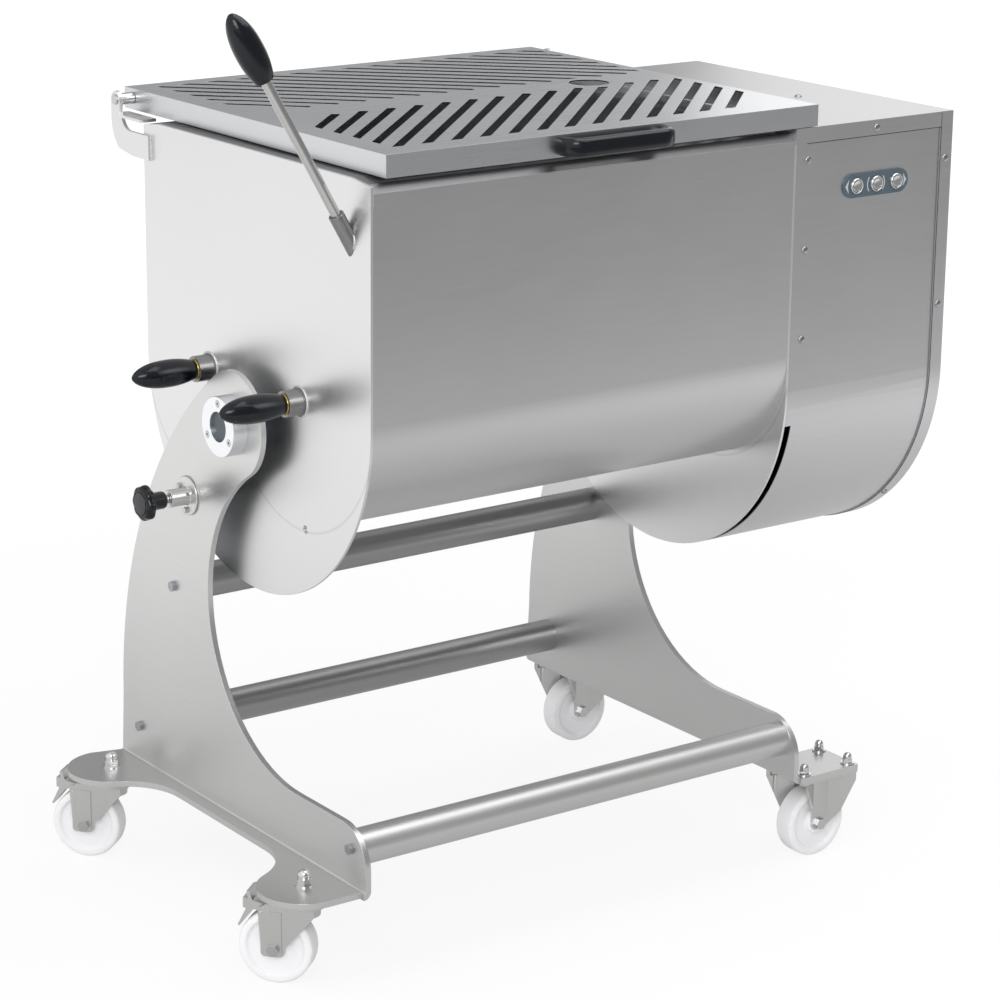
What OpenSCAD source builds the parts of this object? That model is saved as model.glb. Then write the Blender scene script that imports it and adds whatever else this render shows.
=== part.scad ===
// Tilting twin-shaft meat mixer on a stand with casters.
// x runs from the left leg to the drive housing, y from front to back, z up from the floor.
// Stations are measured from the left leg's outer face (x), the tilt axis (y) and the floor (z);
// place() then moves the machine so that the origin is under the middle of its outline.

/* [Stand] */
// Thickness of the two leg plates and their foot flanges
leg_t = 8; // [5:0.5:12]
// Height of the foot flanges' top face above the floor
foot_z = 135; // [130:1:150]
// Height of the tilt axis above the floor
tilt_z = 683; // [670:1:700]
// Radius of the leg head round the tilt axis
head_r = 72; // [60:1:80]
// Half the length of a leg along the floor
foot_half = 314; // [300:1:330]
// Height of the toe's upper edge
toe_z = 218; // [212:1:230]
// Centre of the round cut-out in front of the leg, behind the tilt axis
cut_y = -148; // [-160:1:-130]
// Radius of the toe's front corner
toe_r = 55; // [40:1:60]
// Centre of the long curve of the leg's back edge, along y
back_y = -331; // [-360:1:-300]
// Centre of the long curve of the leg's back edge, above the floor
back_z = 222; // [200:1:240]
// Inner radius of the fold between leg and foot flange
fold_r = 3; // [1:0.5:6]
// Outer diameter of the cross tubes
tube_d = 48.3; // [38:0.1:54]
// Wall of the cross tubes
tube_wall = 2.6; // [2:0.1:4]
// Place of the rear cross tube behind the tilt axis
rear_tube_y = 261; // [250:1:270]
// Height of the rear and front cross tubes
low_tube_z = 186; // [180:1:190]
// Place of the front cross tube in front of the tilt axis
front_tube_y = -279; // [-282:1:-270]
// Place of the upper cross tube behind the tilt axis
upper_tube_y = 160; // [155:1:170]
// Height of the upper cross tube
upper_tube_z = 420; // [400:1:424]

/* [Tub] */
// Gap between the left leg and the tub's end plate
left_gap = 25; // [22:1:32]
// Thickness of the end plate and of the bulkhead
plate_t = 4; // [3:0.5:5]
// Clear length of the trough between end plate and bulkhead
trough_len = 672; // [600:1:760]
// Outer radius of each trough lobe
lobe_r = 163; // [155:1:168]
// Distance between the two mixing shafts
shaft_gap = 222; // [216:6:234]
// Height of the mixing shafts
shaft_z = 733; // [725:1:745]
// Wall of the trough sheet
trough_wall = 3; // [2:0.5:4]
// Height of the tub's upper edge
tub_top_z = 1041; // [1030:1:1060]
// Height of the slanted edge that runs above the trough's front and back walls
rim_rise = 11; // [6:1:16]
// Radius of the end plate's round bottom
end_r = 276; // [274:1:282]
// Height of the centre of that round bottom
end_arc_z = 730; // [720:1:745]
// Width of the folded rim round the mouth
rim_w = 22; // [14:1:30]

/* [Drive housing] */
// Radius of the housing's round bottom, about the tilt axis
housing_r = 274; // [270:1:278]
// Length of the wrapped sheet
wrap_len = 258; // [240:1:300]
// Depth of the end cover's flange
band = 21; // [15:1:30]
// Thickness of the housing sheets
sheet_t = 2; // [1.5:0.5:3]
// Side gap between leg and arc slot
slot_gap = 1.25; // [1:0.25:2]
// Front end of the arc slot, measured from straight down
slot_front = 79.7; // [78:0.1:84]
// Rear end of the arc slot, measured from straight down
slot_rear = 64; // [62:1:68]
// Distance between the push-buttons
button_pitch = 35.7; // [30:0.1:40]
// Diameter of the push-buttons
button_d = 22; // [18:1:26]

/* [Lid] */
// Height of the lid's skirt
skirt = 29; // [24:1:36]
// Thickness of the lid's sheet
lid_t = 2; // [1.5:0.5:3]
// Width of a slot
slot_w = 12.5; // [8:0.5:16]
// Distance between slots along the lid
slot_pitch = 44; // [36:0.2:50]
// Margin between the slots and the lid's edge
slot_margin = 37; // [30:1:50]
// Diameter of the round hole in the lid
peep_d = 56; // [40:1:60]
// Length of the bridge handle
handle_len = 180; // [140:1:220]
// How far the bridge handle stands off
handle_off = 35; // [30:1:45]

/* [Mixing shafts] */
// Diameter of the mixing shafts
shaft_d = 40; // [36:1:44]
// Number of paddles on each shaft
paddles = 6; // [4:1:6]
// Gap between paddle tips and trough
tip_gap = 6; // [4:1:10]
// Module of the two gears
gear_m = 6; // [6:1:6]
// Width of the gears' faces
gear_w = 25; // [20:1:30]

/* [Handles] */
// Diameter of the release pins
pin_d = 20; // [16:1:22]
// Length of a tapered grip
grip_len = 94; // [80:1:110]
// Largest diameter of a tapered grip
grip_d = 37; // [30:1:40]
// Length of the tilt lever's rod, from the end plate to its grip
lever_len = 240; // [200:1:300]
// Lean of the tilt lever from upright
lever_lean = 30; // [20:0.5:35]
// Diameter of the tilt lever's rod
lever_d = 13; // [10:1:16]

/* [Casters] */
// Diameter of the wheels
wheel_d = 100; // [90:1:104]
// Width of the wheels' treads
wheel_w = 32; // [26:1:36]
// Offset of the swivel casters' axles from their swivel axes
trail = 35; // [30:1:40]
// Direction in which the swivel casters trail at rest
swivel_at = 130; // [0:5:355]
// Thickness of the fork sheets
fork_t = 3; // [2:0.5:4]

/* [Hidden] */
$fn = 64;

// Fits: fit is a running clearance on the radius, air is the gap between bodies that pass each other.
fit = 0.05;
air = 0.3;

// Colours
steel = [0.72, 0.72, 0.72];
bright = [0.86, 0.87, 0.88];
black = [0.07, 0.08, 0.10];
white = [0.93, 0.93, 0.91];
grey = [0.45, 0.47, 0.50];

// Stations along x, from the left leg's outer face
end_x = leg_t + left_gap;
trough_x = end_x + plate_t;
bulk_x = trough_x + trough_len;
wrap_x = bulk_x + plate_t;
right_x = wrap_x + slot_gap;
right_out = right_x + leg_t;
band_x = wrap_x + wrap_len;
machine_end = band_x + band;

// Leg outline: head circle, back curve and front cut-out touch each other smoothly
cut_z = (tilt_z * tilt_z + cut_y * cut_y - pow(toe_z - head_r, 2)) / (2 * (tilt_z - toe_z + head_r));
cut_r = cut_z - toe_z;
cut_dir = atan2(tilt_z - cut_z, -cut_y);
back_dir = atan2(tilt_z - back_z, -back_y);
back_r = norm([back_y, tilt_z - back_z]) + head_r;

// Mixing shafts and trough
shaft_y = shaft_gap / 2;
lobe_in = lobe_r - trough_wall;
tub_half = shaft_y + lobe_r;
corner_drop = 5.5;
corner_len = 40;
rim_drop = 4;
rim_top = tub_top_z - rim_drop;
trough_top = rim_top - rim_rise;

// Lid
lid_gap = 3;
lid_z = tub_top_z + lid_gap;
lid_top = lid_z + skirt;
lid_x = end_x + 22;
lid_end = wrap_x + 32;
lid_front = -tub_half - 3;
lid_back = tub_half + 91;
hinge_y = lid_back - 22;
hinge_z = lid_z + 16;
hinge_r = 5;
bracket_t = 5;
bracket_left = end_x - bracket_t;
bracket_right = lid_end + 12;

// Drive
gear_teeth = round(shaft_gap / gear_m);
gear_x = wrap_x + 42;
shaft_start = trough_x + 5;
front_shaft_end = gear_x + gear_w + 3;
gearbox_x = front_shaft_end + 7;
gearbox_w = 110;
rear_shaft_end = gearbox_x + gearbox_w - 5;
post_z = shaft_z + 150;

// Index plunger, and where its two holes lie in the end plate
index_y = 117;
index_z = 559;
index_r = 5;
tipped_y = index_z - tilt_z;
tipped_z = tilt_z - index_y;

// Controls
control_x = wrap_x + 141;
control_z = tub_top_z - 85;

// Casters
rear_swivel = [-47, foot_half - 51];
front_swivel = [-48, 71 - foot_half];
pad_r = 62;
strip_w = 20;
neck_r = 90;
fixed_x = right_out + 58;
fixed_y = foot_half - 38;
plate_x = 100;
plate_y = 82;
plate_side = plate_y / 2 + 0.5;
bolt_x = 80;
bolt_y = 60;
foot_under = foot_z - leg_t;
axle_z = wheel_d / 2;
axle_r = 6;
fork_in = wheel_w / 2 + 2.5;
fork_out = fork_in + fork_t;
proud = 1.5;
band_w = 28;

// Lever
lever_y = -230;
lever_z = tub_top_z - 79;
lever_seat = 16;

// The outline's middle in plan: the tilt lever's grip reaches furthest left
grip_steps = 18;
grip_fat = 0.42;

function grip_radius(t) = t < grip_fat
    ? grip_d / 2 * (1 - 0.32 * pow(1 - t / grip_fat, 2))
    : grip_d / 2 * pow(1 - pow((t - grip_fat) / (1 - grip_fat), 2.4), 0.6);

grip_reach = max([for (i = [0:grip_steps]) let (t = i / grip_steps)
    (lever_len + grip_len * t) * sin(lever_lean) + grip_radius(t) * cos(lever_lean)]);
outline_x = [end_x - grip_reach, machine_end];
outline_y = [-fixed_y - plate_side, lid_back];
mid_x = (outline_x[0] + outline_x[1]) / 2;
mid_y = (outline_y[0] + outline_y[1]) / 2;

module place() {
    translate([-mid_x, -mid_y, 0]) children();
}

// Points of an arc about c, from angle a0 to angle a1
function arc(c, r, a0, a1, n = 16) =
    [for (i = [0:n]) let (a = a0 + (a1 - a0) * i / n) c + r * [cos(a), sin(a)]];

// Extrudes a y-z outline along x
module along_x(x, len) {
    translate([x, 0, 0])
        rotate([90, 0, 90])
            linear_extrude(len) children();
}

// A round bar along x
module bar_x(x, len, y, z, r, sides = 64) {
    translate([x, y, z])
        rotate([0, 90, 0])
            cylinder(h = len, r = r, $fn = sides);
}

// A hexagon along x, corner to corner 2 r
module hex_x(x, len, y, z, r) {
    translate([x, y, z])
        rotate([0, 90, 0])
            cylinder(h = len, r = r, $fn = 6);
}

// Leg plate outline above the fold
module leg_outline() {
    low = foot_under + leg_t + fold_r;
    polygon(concat(
        arc([0, tilt_z], head_r, back_dir, 180 + cut_dir, 24),
        arc([cut_y, cut_z], cut_r, cut_dir, -90, 32),
        arc([toe_r - foot_half, toe_z - toe_r], toe_r, 90, 180, 12),
        [[-foot_half, low], [foot_half, low], [back_y + back_r, back_z]],
        arc([back_y, back_z], back_r, 0, back_dir, 28)));
}

module leg_holes() {
    translate([0, tilt_z]) circle(25);
    for (t = tube_centres) translate(t) circle(4.2);
}

tube_centres = [[rear_tube_y, low_tube_z], [front_tube_y, low_tube_z], [upper_tube_y, upper_tube_z]];

// Quarter fold between the leg plate and its flange, bending towards -x
module foot_fold() {
    translate([-fold_r, foot_half, foot_z + fold_r])
        rotate([90, 0, 0])
            linear_extrude(2 * foot_half)
                intersection() {
                    difference() {
                        circle(fold_r + leg_t);
                        circle(fold_r);
                    }
                    translate([0, -fold_r - leg_t]) square(fold_r + leg_t);
                }
}

// Angle at which a flange pad runs into its neck, seen from the pad's centre
function neck_at(x) = acos((-strip_w - neck_r - x) / (pad_r + neck_r));

function neck_y(pad, side) = pad[1] + side * (pad_r + neck_r) * sin(neck_at(pad[0]));

module left_flange() {
    f = front_swivel;
    r = rear_swivel;
    polygon(concat(
        [[-fold_r, f[1] - pad_r]],
        arc(f, pad_r, 270, neck_at(f[0]), 24),
        arc([-strip_w - neck_r, neck_y(f, 1)], neck_r, neck_at(f[0]) - 180, 0, 12),
        arc([-strip_w - neck_r, neck_y(r, -1)], neck_r, 0, 180 - neck_at(r[0]), 12),
        arc(r, pad_r, 360 - neck_at(r[0]), 90, 24),
        [[-fold_r, foot_half]]));
}

module right_flange() {
    reach = fixed_x + plate_x / 2 - right_out;
    side = plate_side;
    neck = 30;
    difference() {
        union() {
            translate([fold_r, -foot_half]) square([strip_w - fold_r, 2 * foot_half]);
            for (s = [-1, 1]) translate([fold_r, s * fixed_y - side]) square([reach - fold_r, 2 * side]);
            for (s = [-1, 1])
                translate([strip_w - 1, s * (fixed_y - side - neck / 2) - neck / 2])
                    square([neck + 1, neck]);
        }
        for (s = [-1, 1]) translate([strip_w + neck, s * (fixed_y - side - neck)]) circle(neck);
        for (s = [-1, 1], x = [-1, 1], y = [-1, 1])
            translate([fixed_x - right_out + x * bolt_x / 2, s * fixed_y + y * bolt_y / 2]) circle(4.2);
    }
}

module left_leg() {
    place() color(steel) {
        along_x(0, leg_t)
            difference() {
                leg_outline();
                leg_holes();
                translate([index_y, index_z]) circle(8 + fit);
            }
        foot_fold();
        translate([0, 0, foot_under])
            linear_extrude(leg_t)
                difference() {
                    left_flange();
                    translate(front_swivel) circle(6.1);
                    translate(rear_swivel) circle(6.1);
                }
    }
}

module right_leg() {
    place() color(steel) {
        along_x(right_x, leg_t)
            difference() {
                leg_outline();
                leg_holes();
            }
        translate([right_out, 0, 0]) mirror([1, 0, 0]) foot_fold();
        translate([right_out, 0, foot_under]) linear_extrude(leg_t) right_flange();
    }
}

// A cross tube with a plug welded into each end
module cross_tube(centre) {
    plug = 10;
    place() color(steel)
        difference() {
            bar_x(leg_t, right_x - leg_t, centre[0], centre[1], tube_d / 2);
            bar_x(leg_t + plug, right_x - leg_t - 2 * plug, centre[0], centre[1], tube_d / 2 - tube_wall);
            bar_x(0, right_x + leg_t, centre[0], centre[1], 4.1, 24);
        }
}

module rear_tube() { cross_tube(tube_centres[0]); }
module front_tube() { cross_tube(tube_centres[1]); }
module upper_tube() { cross_tube(tube_centres[2]); }

module tube_bolts() {
    place() color(bright)
        for (t = tube_centres) {
            hex_x(-5.5, 5.5, t[0], t[1], 7.5);
            bar_x(0, leg_t + 16, t[0], t[1], 4, 24);
            hex_x(right_out, 5.5, t[0], t[1], 7.5);
            bar_x(right_x - 16, leg_t + 16, t[0], t[1], 4, 24);
        }
}

// Flanged bearing about the tilt axis, its flange towards -x
boss_r = 40;
boss_t = 22;
pivot_r = 20;
boss_pitch = 31;
boss_angles = [90, 210, 330];

module bearing_body() {
    difference() {
        union() {
            bar_x(-boss_t, boss_t, 0, tilt_z, boss_r);
            bar_x(0, leg_t, 0, tilt_z, 25 - fit);
        }
        bar_x(-boss_t - 1, boss_t + leg_t + 2, 0, tilt_z, pivot_r + fit);
        for (a = boss_angles)
            translate([0, boss_pitch * cos(a), tilt_z + boss_pitch * sin(a)])
                rotate([0, 90, 0]) {
                    translate([0, 0, -boss_t]) cylinder(h = 3, r1 = 5.1, r2 = 2.6, $fn = 24);
                    translate([0, 0, -boss_t]) cylinder(h = boss_t, r = 2.6, $fn = 24);
                }
    }
}

module left_bearing() {
    place() color(bright) bearing_body();
}

module right_bearing() {
    place() color(bright) translate([right_out, 0, 0]) mirror([1, 0, 0]) bearing_body();
}

module boss_screws() {
    for (a = boss_angles)
        translate([0, boss_pitch * cos(a), tilt_z + boss_pitch * sin(a)])
            rotate([0, 90, 0])
                difference() {
                    union() {
                        translate([0, 0, -boss_t]) cylinder(h = 2.9, r1 = 5, r2 = 2.5, $fn = 24);
                        translate([0, 0, -boss_t]) cylinder(h = boss_t, r = 2.5, $fn = 24);
                    }
                    translate([0, 0, -boss_t - 1]) cylinder(h = 3, r = 1.8, $fn = 6);
                }
}

plunger_flange = 3;

module plunger_screws() {
    for (a = [30, 150, 270])
        bar_x(-plunger_flange - 4, 4, index_y + 20 * cos(a), index_z + 20 * sin(a), 4.5, 6);
}

module bearing_screws() {
    place() color(bright) {
        boss_screws();
        translate([right_out, 0, 0]) mirror([1, 0, 0]) boss_screws();
        plunger_screws();
    }
}

barrel_len = 31;

module plunger_barrel() {
    place() color(steel)
        difference() {
            union() {
                bar_x(-plunger_flange, plunger_flange, index_y, index_z, 27);
                bar_x(-barrel_len, barrel_len, index_y, index_z, 12);
                bar_x(0, leg_t, index_y, index_z, 8);
            }
            bar_x(-barrel_len - 1, barrel_len + leg_t + 2, index_y, index_z, index_r + fit);
        }
}

plunger_stroke = 5.5;
pin_tip = trough_x - 0.5 - plunger_stroke;
knob_x = -barrel_len - plunger_stroke - air;

module plunger_pin() {
    place() color(bright) bar_x(knob_x - 12, pin_tip - knob_x + 12, index_y, index_z, index_r);
}

module plunger_knob() {
    place() color(black)
        difference() {
            union() {
                bar_x(knob_x - 17, 17, index_y, index_z, 12);
                bar_x(knob_x - 38, 21, index_y, index_z, 21);
                for (i = [0:7]) {
                    bar_x(knob_x - 38, 21, index_y + 20 * cos(45 * i), index_z + 20 * sin(45 * i), 5.5, 24);
                }
            }
            bar_x(knob_x - 12, 13, index_y, index_z, index_r + fit);
        }
}

// Tub
module u_outline(half, arc_z, r, top) {
    translate([0, arc_z]) circle(r, $fn = 96);
    translate([-half, arc_z]) square([2 * half, top - arc_z]);
}

// What is cut from the end plate's upper corner, where it runs down to the trough's edge
module plate_corner() {
    polygon([
        [tub_half - corner_len, tub_top_z],
        [end_r + 1, tub_top_z - corner_drop],
        [end_r + 1, tub_top_z + 1],
        [tub_half - corner_len, tub_top_z + 1]]);
}

module left_end_plate() {
    place() color(steel)
        along_x(end_x, plate_t)
            difference() {
                u_outline(end_r, end_arc_z, end_r, tub_top_z);
                for (m = [0, 1]) mirror([m, 0]) plate_corner();
                translate([index_y, index_z]) circle(index_r + air);
                translate([tipped_y, tipped_z]) circle(index_r + air);
                for (s = [-1, 1]) translate([s * shaft_y, shaft_z]) circle(boss_out + fit);
            }
}

module lobes(r) {
    for (s = [-1, 1]) translate([s * shaft_y, shaft_z]) circle(r, $fn = 96);
}

module trough() {
    place() color(steel)
        along_x(trough_x, trough_len)
            difference() {
                union() {
                    lobes(lobe_r);
                    translate([-tub_half, shaft_z]) square([2 * tub_half, trough_top - shaft_z]);
                }
                lobes(lobe_in);
                translate([trough_wall - tub_half, shaft_z])
                    square([2 * (tub_half - trough_wall), trough_top - shaft_z + 1]);
            }
}

// Folded edge: slants inwards above the wall, then lies flat round the mouth
rim_lean = 8;

module rim_side() {
    polygon([
        [-tub_half, trough_top],
        [rim_lean - tub_half, rim_top],
        [rim_w - tub_half, rim_top],
        [rim_w - tub_half, rim_top - trough_wall],
        [rim_lean + 2 - tub_half, rim_top - trough_wall],
        [trough_wall - tub_half, trough_top]]);
}

// Strip across each end of the mouth, as high as the end plate in the middle
module rim_end() {
    half = tub_half - rim_lean;
    polygon([
        [-half, rim_top - trough_wall],
        [half, rim_top - trough_wall],
        [half, rim_top],
        [tub_half - corner_len, tub_top_z],
        [corner_len - tub_half, tub_top_z],
        [-half, rim_top]]);
}

module tub_rim() {
    place() color(steel) {
        along_x(trough_x, trough_len) {
            rim_side();
            mirror([1, 0]) rim_side();
        }
        for (x = [trough_x, bulk_x - rim_w]) along_x(x, rim_w) rim_end();
    }
}

housing_top_z = lid_z - 1;
wrap_top = housing_top_z - 3;

module bulkhead() {
    place() color(steel)
        along_x(bulk_x, plate_t)
            difference() {
                u_outline(housing_r, tilt_z, housing_r, wrap_top);
                for (s = [-1, 1]) translate([s * shaft_y, shaft_z]) circle(bearing_spigot + fit);
            }
}

// Sector of the arc slot that the right leg passes through
module slot_sector() {
    reach = housing_r + 20;
    polygon(concat([[0, tilt_z]], arc([0, tilt_z], reach, 270 - slot_front, 270 + slot_rear, 24)));
}

module housing_wrap() {
    place() color(steel)
        difference() {
            along_x(wrap_x, wrap_len + 14)
                difference() {
                    u_outline(housing_r, tilt_z, housing_r, wrap_top);
                    translate([0, tilt_z]) circle(housing_r - sheet_t, $fn = 96);
                    translate([sheet_t - housing_r, tilt_z])
                        square([2 * (housing_r - sheet_t), wrap_top - tilt_z + 1]);
                }
            along_x(wrap_x - 1, leg_t + 2 * slot_gap + 1) slot_sector();
            at_housing_screws() screw_hole();
            for (i = [-1:1])
                translate([control_x + i * button_pitch, -housing_r - 1, control_z])
                    rotate([-90, 0, 0])
                        cylinder(h = 2 * sheet_t + 2, r = button_d / 2 + fit);
        }
}

top_flange = 21;

module housing_top() {
    len = band_x - bulk_x;
    side = housing_r + sheet_t;
    place() color(steel)
        difference() {
            translate([bulk_x, -side, housing_top_z - top_flange]) cube([len, 2 * side, top_flange]);
            translate([bulk_x - 1, -housing_r, housing_top_z - top_flange - 1])
                cube([len + 2, 2 * housing_r, top_flange - 2]);
            at_housing_screws() screw_hole();
        }
}

module cover_outline(inset) {
    r = housing_r + sheet_t - inset;
    u_outline(r, tilt_z, r, housing_top_z - inset);
}

module end_cover() {
    place() color(steel)
        difference() {
            along_x(band_x, band) cover_outline(0);
            along_x(band_x - 1, band - sheet_t + 1) cover_outline(sheet_t);
            at_housing_screws() screw_hole();
        }
}

// Pan-head screw whose head points along +z, and the hole for its shank
module pan_screw() {
    cylinder(h = 1.4, r = 4.5, $fn = 24);
    translate([0, 0, 1.4]) cylinder(h = 1, r1 = 4.5, r2 = 3, $fn = 24);
    translate([0, 0, -6]) cylinder(h = 6, r = 2, $fn = 16);
}

module screw_hole() {
    translate([0, 0, -8]) cylinder(h = 9, r = 2.2, $fn = 16);
}

seam_screw_x = wrap_x + 20;
band_screw_x = band_x + 9;

module at_housing_screws() {
    side = housing_r + sheet_t;
    for (s = [-1, 1]) {
        for (z = [71, 194, 316])
            translate([seam_screw_x, s * housing_r, tilt_z + z]) rotate([-90 * s, 0, 0]) children();
        for (z = [90, 295])
            translate([band_screw_x, s * side, tilt_z + z]) rotate([-90 * s, 0, 0]) children();
        translate([band_screw_x, 0, tilt_z]) rotate([-137.5 * s, 0, 0]) translate([0, 0, side]) children();
        translate([wrap_x + 139, s * side, housing_top_z - 11]) rotate([-90 * s, 0, 0]) children();
    }
    translate([wrap_x + 179, -69, housing_top_z]) children();
}

module housing_screws() {
    place() color(bright) at_housing_screws() pan_screw();
}

module stadium(len, r) {
    for (s = [-1, 1]) translate([s * (len / 2 - r), 0]) circle(r);
    translate([r - len / 2, -r]) square([len - 2 * r, 2 * r]);
}

control_t = 2.5;

module control_plate() {
    place() color([0.42, 0.50, 0.55])
        translate([control_x, -housing_r, control_z])
            rotate([90, 0, 0])
                linear_extrude(control_t)
                    difference() {
                        stadium(117, 16.5);
                        for (i = [-1:1]) translate([i * button_pitch, 0]) circle(button_d / 2 + fit);
                    }
}

// Push-button: cap in front of the plate, collar behind the sheet
module button(i, tone) {
    proud = 4;
    place() color(tone)
        translate([control_x + i * button_pitch, -housing_r - control_t - proud, control_z])
            rotate([-90, 0, 0]) {
                cylinder(h = proud + control_t + sheet_t + 6, r = button_d / 2);
                translate([0, 0, proud + control_t + sheet_t + air]) cylinder(h = 3, r = button_d / 2 + 2);
            }
}

module start_button() { button(-1, bright); }
module stop_button() { button(0, bright); }
module reverse_button() { button(1, bright); }

module left_trunnion() {
    place() color(bright) {
        bar_x(4 - boss_t, end_x - 4 + boss_t, 0, tilt_z, pivot_r);
        bar_x(leg_t + air, end_x - leg_t - air, 0, tilt_z, 32);
    }
}

module right_trunnion() {
    tip = right_out + boss_t;
    place() color(bright) {
        bar_x(wrap_x, tip + air - wrap_x, 0, tilt_z, pivot_r);
        bar_x(tip + air, 4, 0, tilt_z, 27);
    }
}

// Shaft-mounted gearbox: hollow shaft, box, and a plate up to the torque posts
module gearbox() {
    place() color(grey)
        difference() {
            union() {
                translate([gearbox_x, shaft_y - 60, shaft_z - 75]) cube([gearbox_w, 120, 150]);
                translate([gearbox_x, shaft_y - 60, shaft_z]) cube([10, 120, post_z - shaft_z + 18]);
                bar_x(gearbox_x - 4, gearbox_w + 8, shaft_y, shaft_z, 38);
            }
            bar_x(gearbox_x - 5, gearbox_w + 10, shaft_y, shaft_z, shaft_d / 2 + fit);
        }
}

module motor() {
    len = shaft_y - 60 + 195;
    place() color(grey)
        translate([gearbox_x + gearbox_w / 2, shaft_y - 60, shaft_z])
            rotate([90, 0, 0]) {
                cylinder(h = 12, r = 58);
                translate([0, 0, 12]) cylinder(h = len - 62, r = 50);
                for (a = [0:30:330])
                    rotate([0, 0, a]) translate([48, -1.5, 20]) cube([8, 3, len - 78]);
                translate([0, 0, len - 50]) cylinder(h = 50, r = 57);
            }
}

module drive_posts() {
    place() color(steel)
        for (s = [-1, 1]) bar_x(wrap_x, gearbox_x - wrap_x, shaft_y + s * 45, post_z, 10);
}

bearing_spigot = 24;

module shaft_bearings() {
    place() color(bright)
        for (s = [-1, 1])
            difference() {
                union() {
                    bar_x(wrap_x, 22, s * shaft_y, shaft_z, 30);
                    bar_x(bulk_x - 5, plate_t + 5, s * shaft_y, shaft_z, bearing_spigot);
                }
                bar_x(bulk_x - 6, plate_t + 30, s * shaft_y, shaft_z, shaft_d / 2 + fit);
            }
}

boss_out = 17.5;
grip_x = end_x - 24;

module release_bosses() {
    place() color(steel)
        for (s = [-1, 1])
            difference() {
                union() {
                    bar_x(grip_x, trough_x - grip_x, s * shaft_y, shaft_z, boss_out);
                    bar_x(end_x - 1.5, 1.5, s * shaft_y, shaft_z, boss_out + 2.5);
                    bar_x(trough_x, shaft_start - trough_x - air, s * shaft_y, shaft_z, boss_out + 6);
                }
                bar_x(grip_x - 1, shaft_start - grip_x + 1, s * shaft_y, shaft_z, pin_d / 2 + fit);
            }
}

release_reach = 30;

module release_pin(s) {
    place() color(bright)
        bar_x(grip_x - 20, shaft_start + release_reach + 20 - grip_x, s * shaft_y, shaft_z, pin_d / 2 - fit);
}

module front_release_pin() { release_pin(-1); }
module rear_release_pin() { release_pin(1); }

// Tapered grip along +z from its mounting end, bored to the given depth
module tapered_grip(bore, depth) {
    near = 1 - 0.3 / grip_steps;
    difference() {
        rotate_extrude($fn = 48)
            polygon(concat(
                [[0, 0]],
                [for (i = [0:grip_steps - 1]) [grip_radius(i / grip_steps), grip_len * i / grip_steps]],
                [[grip_radius(near), grip_len * near], [0, grip_len]]));
        translate([0, 0, -1]) cylinder(h = depth + 1, r = bore, $fn = 32);
    }
}

module release_grip(s) {
    place() color(black)
        translate([grip_x - air, s * shaft_y, shaft_z])
            rotate([0, -90, 0])
                tapered_grip(pin_d / 2, 20 - air);
}

module front_release_grip() { release_grip(-1); }
module rear_release_grip() { release_grip(1); }

// Tilt lever, in the plane of x and z
module on_lever(at) {
    translate([end_x, lever_y, lever_z])
        rotate([0, -lever_lean, 0])
            translate([0, 0, at]) children();
}

socket_len = 40;
socket_r = 10;

module lever_socket() {
    place() color(steel)
        difference() {
            on_lever(-30) cylinder(h = socket_len + 30, r = socket_r);
            on_lever(lever_seat - 2) cylinder(h = socket_len, r = lever_d / 2 + fit);
            translate([end_x, lever_y - 50, lever_z - 60]) cube([50, 100, 200]);
        }
}

module lever_rod() {
    place() color(bright) on_lever(lever_seat) cylinder(h = lever_len + 20 - lever_seat, r = lever_d / 2);
}

module lever_grip() {
    place() color(black) on_lever(lever_len) tapered_grip(lever_d / 2 + fit, 20);
}

// Hinge bracket outline: foot on the tub, curved arm, eye round the pin
eye_r = 12;

module bracket_outline() {
    foot_y = tub_half - 19;
    bend_z = lid_z - 9;
    arm_top = bend_z - 13;
    low = bend_z - 46;
    difference() {
        union() {
            translate([hinge_y, hinge_z]) circle(eye_r);
            translate([hinge_y - eye_r, bend_z + 5]) square([2 * eye_r, hinge_z - bend_z - 5]);
            polygon(concat(
                [[foot_y, low], [tub_half + 25, low]],
                arc([hinge_y - 40, bend_z], 52, -50, 0, 10),
                [[hinge_y + eye_r, bend_z + 5], [hinge_y - eye_r, bend_z + 5]],
                arc([hinge_y - eye_r - 26, bend_z + 10], 23, -10, -88, 10),
                [[foot_y, arm_top]]));
        }
        translate([hinge_y, hinge_z]) circle(hinge_r + fit);
    }
}

module hinge_brackets() {
    shelf_w = lid_x - bracket_left - 2;
    place() color(steel) {
        along_x(bracket_left, bracket_t) bracket_outline();
        translate([bracket_left, end_r, tub_top_z - rim_drop])
            cube([shelf_w, hinge_y + eye_r - 4 - end_r, rim_drop]);
        along_x(bracket_right, bracket_t)
            intersection() {
                bracket_outline();
                translate([housing_r, 0]) square([300, 2000]);
            }
    }
}

// A pin from its bracket's outer face inwards: head, shank, and a spacer over the gap to the lid
module hinge_pin(gap) {
    bar_x(-2, 2, hinge_y, hinge_z, 7, 32);
    bar_x(0, bracket_t + gap + 7, hinge_y, hinge_z, hinge_r, 32);
    bar_x(bracket_t, gap - air, hinge_y, hinge_z, 8, 32);
}

module hinge_pins() {
    place() color(bright) {
        translate([bracket_left, 0, 0]) hinge_pin(lid_x - end_x);
        translate([bracket_right + bracket_t, 0, 0])
            mirror([1, 0, 0])
                hinge_pin(bracket_right - lid_end);
    }
}

// Lid
peep_x = lid_x + 551;
peep_y = 41;
spine_y = 45;
spine_w = 75;
slot_right = lid_end - 14;
slot_left = lid_x + slot_margin;
slot_front_y = lid_front + slot_margin + 5;
slot_back_y = lid_back - slot_margin + 11;
front_phase = 74.6;
back_phase = 77.5;

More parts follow.
